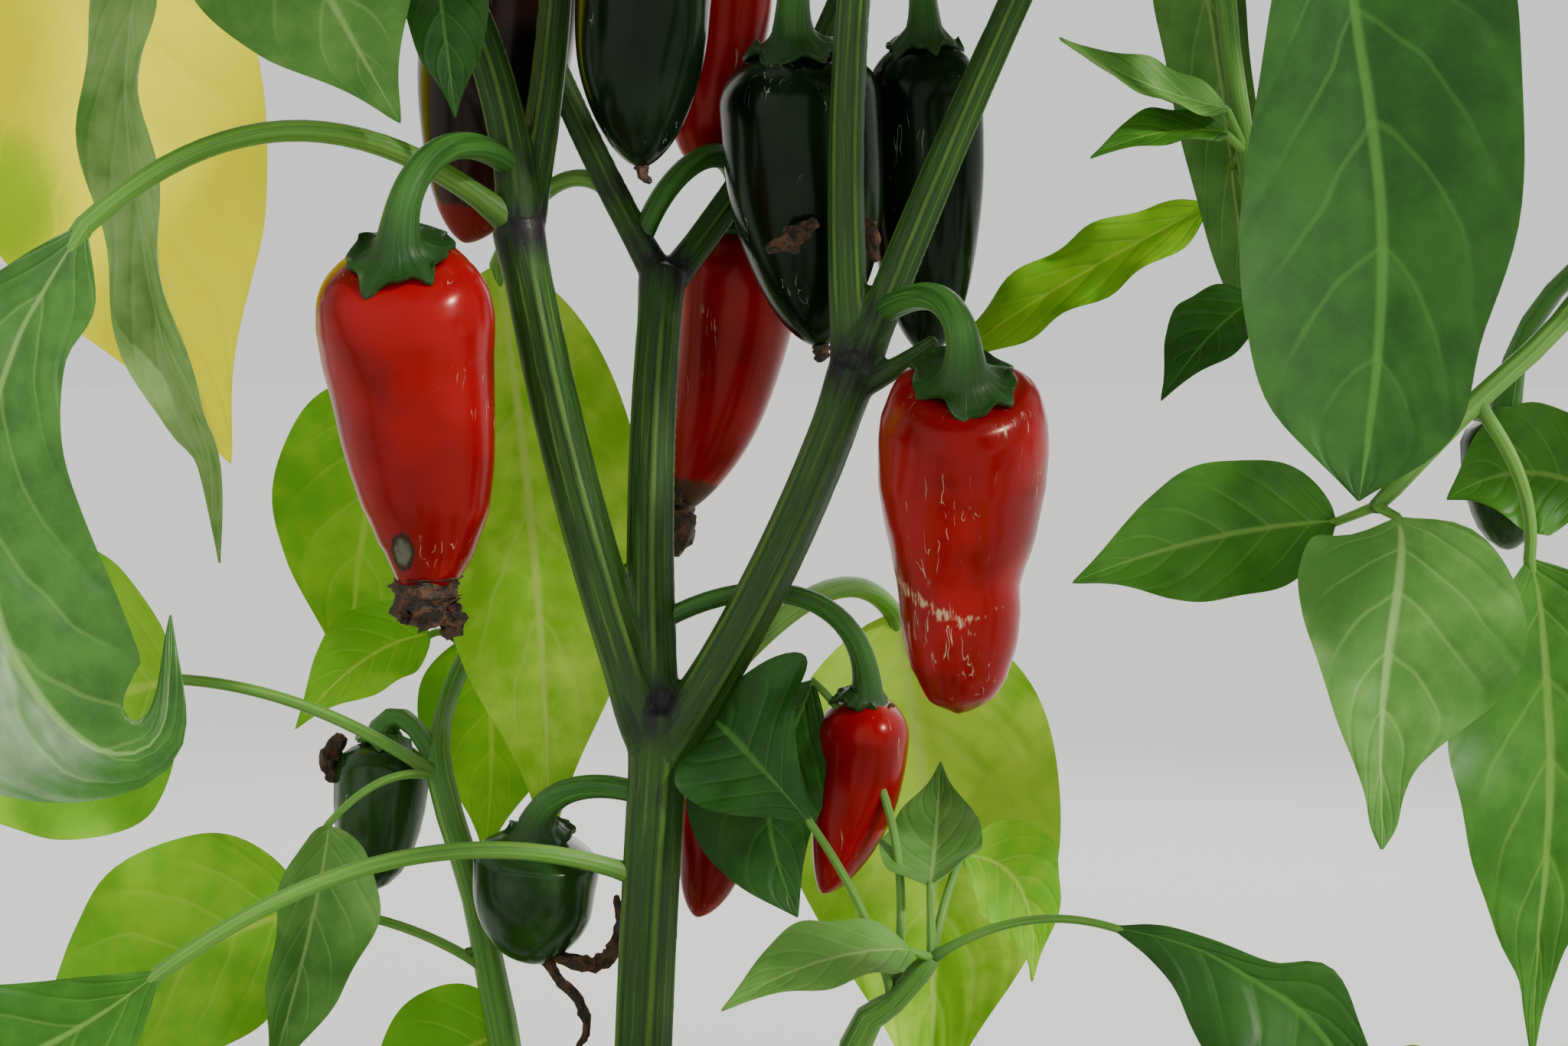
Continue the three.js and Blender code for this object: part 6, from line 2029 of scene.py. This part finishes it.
class Foliage:
    """The masses of foliage: their twigs, their leaves by tone, and their pods, each kind joined."""

    REDRAWN = {
        ("left_low_mass", 0): drawn(
            (-88.5, 22, 234.4, 0.6, 0.6), (-90.5, 22, 234, 10, 13), (-96, 22, 232.8, 22, 25),
            (-105, 23, 231, 27, 30), (-120, 24, 229.1, 25, 27), (-136.2, 25, 226.7, 15, 15),
            (-147.1, 26, 224.3, 0.2, 0.2), face=at(0.1, -1, 0.2), tone=Tone.BRIGHT),
        ("left_low_mass", 1): dict(base=at(-59.2, 12, 208), tip=at(-70.7, 4, 157.7)),
        ("left_low_mass", 2): dict(base=at(-66, 30, 188), tip=at(-124, 36, 152), width=44),
        ("right_outer_mass", 0): dict(base=at(117.6, -60, 270.4), tip=at(75.2, -50, 259.4)),
        ("right_outer_mass", 3): dict(base=at(164, -44, 274), tip=at(139, -44, 273), width=24),
        ("right_hanging_mass", 0): dict(tone=Tone.PALE),
        ("right_hanging_mass", 2): drawn(
            (109.1, 30, 325.1, 0.6, 0.6), (104, 31.5, 322.5, 5, 4), (98.2, 33, 319.4, 7, 6),
            (85.1, 38, 311.9, 7.5, 7.5), (71.7, 42, 303.5, 6.5, 6), (63.5, 46, 296.9, 2.5, 2.5),
            (60, 47, 293, 0.2, 0.2), lie=Lie(18, 0.24, 3.3, 0.6, quilt=0.5)),
        ("right_hanging_mass", 4): drawn(
            (103, 16, 384, 0.6, 0.6), (104.6, 17, 374, 7.5, 7.5), (106.6, 18, 363, 10, 10.4),
            (109.6, 18, 345, 9, 9), (112.6, 16, 320, 6, 6.5), (114.8, 12, 298, 0.2, 0.2)),
        ("right_outer_mass", 4): drawn(
            (113.8, -92, 374, 0.6, 0.6), (113, -92.5, 364, 17, 9), (112.9, -93, 351.8, 24, 13),
            (115.7, -94, 334, 22.5, 19), (117.4, -95.5, 317.5, 20, 22.5), (117, -97, 301.4, 15, 21.5),
            (115.3, -99, 287.5, 12.5, 16), (113.4, -101, 276.4, 0.2, 0.2), tone=Tone.DEEP,
            lie=Lie(12, 0.05, 1.4, 1, quilt=0.35), base=at(116, -92, 368)),
        ("right_outer_mass", 1): drawn(
            (125, -73, 272, 0.5, 0.5), (125.4, -74, 268, 13.5, 13.5), (124.5, -76, 261.2, 19.7, 16.5),
            (123, -78, 253.9, 20.5, 14.6), (121.7, -80, 246.6, 18.6, 10.9), (120.9, -82, 240.6, 13.5, 7.6),
            (120.5, -84, 234, 6.2, 4.3), (120.5, -85, 229.2, 3.6, 2.7), (120.5, -86, 224.4, 2.4, 1.9),
            (120.4, -87, 221, 0.3, 0.3), fold=0.1, tone=Tone.PALE),
        ("right_outer_mass", 2): drawn(
            (149.3, -60, 264.3, 0.5, 0.5), (150.8, -60, 258.5, 9, 9), (151.8, -60, 250, 15, 15),
            (152.6, -60, 240.3, 18, 17.5), (152.9, -61, 230.6, 18, 18.6), (152.5, -62, 221, 16, 16),
            (152, -62, 211.2, 12, 12.2), (151, -63, 202.8, 5.5, 7.8), (150.7, -63, 195.6, 3, 3.5),
            (150.2, -64, 189.9, 1.6, 1.9), (150.2, -64, 182.1, 0.3, 0.3), tone=Tone.MID),
        ("right_low_mass", 3): drawn(
            (86.4, -18, 194.4, 0.5, 0.5), (94.2, -19, 193, 2.2, 5), (102.6, -20, 190.4, 2.6, 11),
            (112.2, -22, 185.1, 4.5, 18), (118.4, -23, 181.1, 9.5, 22), (124.4, -25, 174.6, 6, 22),
            (128.3, -27, 167.2, 4, 14), (130.8, -29, 159.9, 0.2, 0.2), face=at(0, -1, 0.25), fold=0.1,
            tone=Tone.DEEP),
        ("right_low_mass", 5): drawn(
            (31.7, -14, 212.8, 0.5, 0.5), (28.2, -12, 216.6, 5, 3.5), (24.9, -10, 220.1, 10, 7),
            (21.2, -7, 223.5, 13, 14), (17.8, -4, 226.7, 13.5, 20.5), (14.5, -1, 229.4, 8.5, 10),
            (12.3, 1, 231, 0.2, 0.2), face=at(0, -1, 0.1), fold=0.1, tone=Tone.DEEP),
        ("right_low_mass", 4): drawn(
            (32.5, 10, 235.6, 0.5, 0.5), (30.3, 10, 229.6, 5, 10), (27.3, 9, 222.7, 8.5, 14),
            (24.3, 7, 212, 10, 15.5), (26, 4, 202, 5.5, 10), (29.5, 0, 192.8, 0.2, 0.2),
            face=at(0, -1, 0.1)),
    }

    ADDED = {"left_low_mass": (
        Leaf(at(-34, 25, 181), at(-26, 30, 164.6), at(-54.5, 24, 144.8), up(2), up(3), 28, 0.1,
             at(0, -1, 0.4), Tone.BRIGHT),
    )}

    def __init__(self) -> None:
        """Grows all the masses."""
        around = obstacles()
        self.sprays = {name: SprayGrowth(name, around) for name in SPRAYS}
        self.crown = {name: CrownGrowth(name, around) for name in CROWN_MASSES}
        for name, mass in {**self.sprays, **self.crown}.items():
            counts = len(mass.leaves), len(mass.twigs), len(mass.fruits)
            log.info("%s: %d leaves, %d twigs, %d pods", name, *counts)

    def build(self, skins: Skins) -> None:
        """Makes the joined pieces."""
        masses = [*self.sprays.values(), *self.crown.values()]
        nodes = [mass.name for mass in masses]
        blades = {tone: Shells() for tone in Tone}
        twigs = Shells()
        for mass in masses:
            for twig in mass.twigs:
                self.add_twig(twigs, twig)
            for k, leaf in enumerate(mass.leaves):
                Blade(self.varied(leaf, k)).shell(blades[leaf.tone], twigs)
        for tone, shells in blades.items():
            mesh = shells.mesh(f"{tone.value}_leaves", 70)
            dressed(mesh, [skins[TONES[tone].name]], nodes)
        dressed(twigs.mesh("twigs", 60), [skins[TWIG_SKIN.name]], nodes)
        self.build_listed(skins)
        self.build_pods(masses, skins)

    @staticmethod
    def varied(leaf: Leaf, k: int) -> Leaf:
        """A leaf with a lie and a fold of its own, by its number in the mass."""
        lie = Lie(6 + 26 * (k * 0.618 % 1), 0.06 + 0.1 * (k * 0.37 % 1), 1.5 + k % 2, k * 2.4,
                  twist=30 * ((k * 0.43 % 1) - 0.5), quilt=0, bend=0.06 * ((k * 0.29 % 1) - 0.5))
        return replace(leaf, lie=lie, fold=0.08 + 0.22 * (k * 0.731 % 1))

    @staticmethod
    def add_twig(twigs: Shells, twig: Twig) -> None:
        """Adds a smooth tube along a twig, sunk into what carries it and rounded at its end."""
        steps = 3 if len(twig.points) > 2 else 2
        line = bent(np.array(twig.points), steps)
        wide = np.interp(np.arange(len(line)) / steps, np.arange(len(twig.radii)), twig.radii)
        wide[-1] *= 0.8
        line[0] += unit(line[0] - line[1]) * 1.5
        count = 8 if twig.radii[0] > 1.5 else 5
        rings = ring_points(line, wide, 2 * np.pi * np.arange(count) / count)
        end = line[-1] + unit(line[-1] - line[-2]) * wide[-1] * 0.6
        twigs.add(rings, line[0] + unit(line[0] - line[1]) * 0.3, end)

    def build_listed(self, skins: Skins) -> None:
        """Makes the listed leaves of each spray, finely, with a material for each tone."""
        materials = [skins[finish.name] for finish in (*TONES.values(), PETIOLE_SKIN)]
        for name, mass in self.sprays.items():
            if not mass.listed:
                continue
            wrapping = Wrapping()
            for k, leaf in enumerate((*mass.listed, *self.ADDED.get(name, ()))):
                leaf = replace(leaf, **self.REDRAWN.get((name, k), {}))
                Blade(leaf).wrap(wrapping, 44, 28, list(Tone).index(leaf.tone), len(Tone))
            dressed(wrapping.mesh(name.replace("_mass", "_near_leaves")), materials, [name])

    def build_pods(self, masses: list[Mass], skins: Skins) -> None:
        """Makes the pods of the masses, joined by colour, and their stalks."""
        red, green, stalks = Shells(), Shells(), Shells()
        angles = 2 * np.pi * np.arange(12) / 12
        for mass in masses:
            for k, fruit in enumerate(mass.fruits):
                pod = Pod(fruit, turn=k * 1.7)
                body = red if fruit.joint == 0 and (k + len(mass.name)) % 2 else green
                for shells, points in ((body, pod.body(11, angles)), (stalks, pod.stalk(5, angles))):
                    shells.add(points[1:-1], points[0, 0], points[-1, 0])
        nodes = sorted(mass.name for mass in masses if mass.fruits)
        dressed(red.mesh("red_pods", 80), [skins[RED_POD.name]], nodes)
        dressed(green.mesh("green_pods", 80), [skins[GREEN_POD.name]], nodes)
        dressed(stalks.mesh("pod_stalks", 70), [skins[CALYX.name]], nodes)


def main() -> None:
    """Builds the plant and the studio."""
    logging.basicConfig(level=logging.INFO, format="%(name)s: %(message)s")
    Studio().build()
    effects = Effects()
    finishes = [
        DEEP_LEAF, MID_LEAF, BRIGHT_LEAF, PALE_LEAF, YELLOW_LEAF, SHINY_LEAF, LIT_PALE_LEAF, LIT_LEAF,
        STEM, PETIOLE_SKIN, TWIG_SKIN, CALYX, RED_POD, SCARRED_RED_POD, CRACKED_RED_POD, STAINED_RED_POD,
        DARK_POD, MAROON_POD, GREEN_POD, DRIED,
    ]
    skins = {finish.name: finish.build(effects) for finish in finishes}
    StemSkin().build(skins[STEM.name])
    for dress in POD_DRESSES:
        dress.build(skins, skins[CALYX.name])
    Scraps().build(skins[DRIED.name])
    WindowLeaves().build(skins, skins[PETIOLE_SKIN.name])
    Foliage().build(skins)


if __name__ == "__main__":
    main()
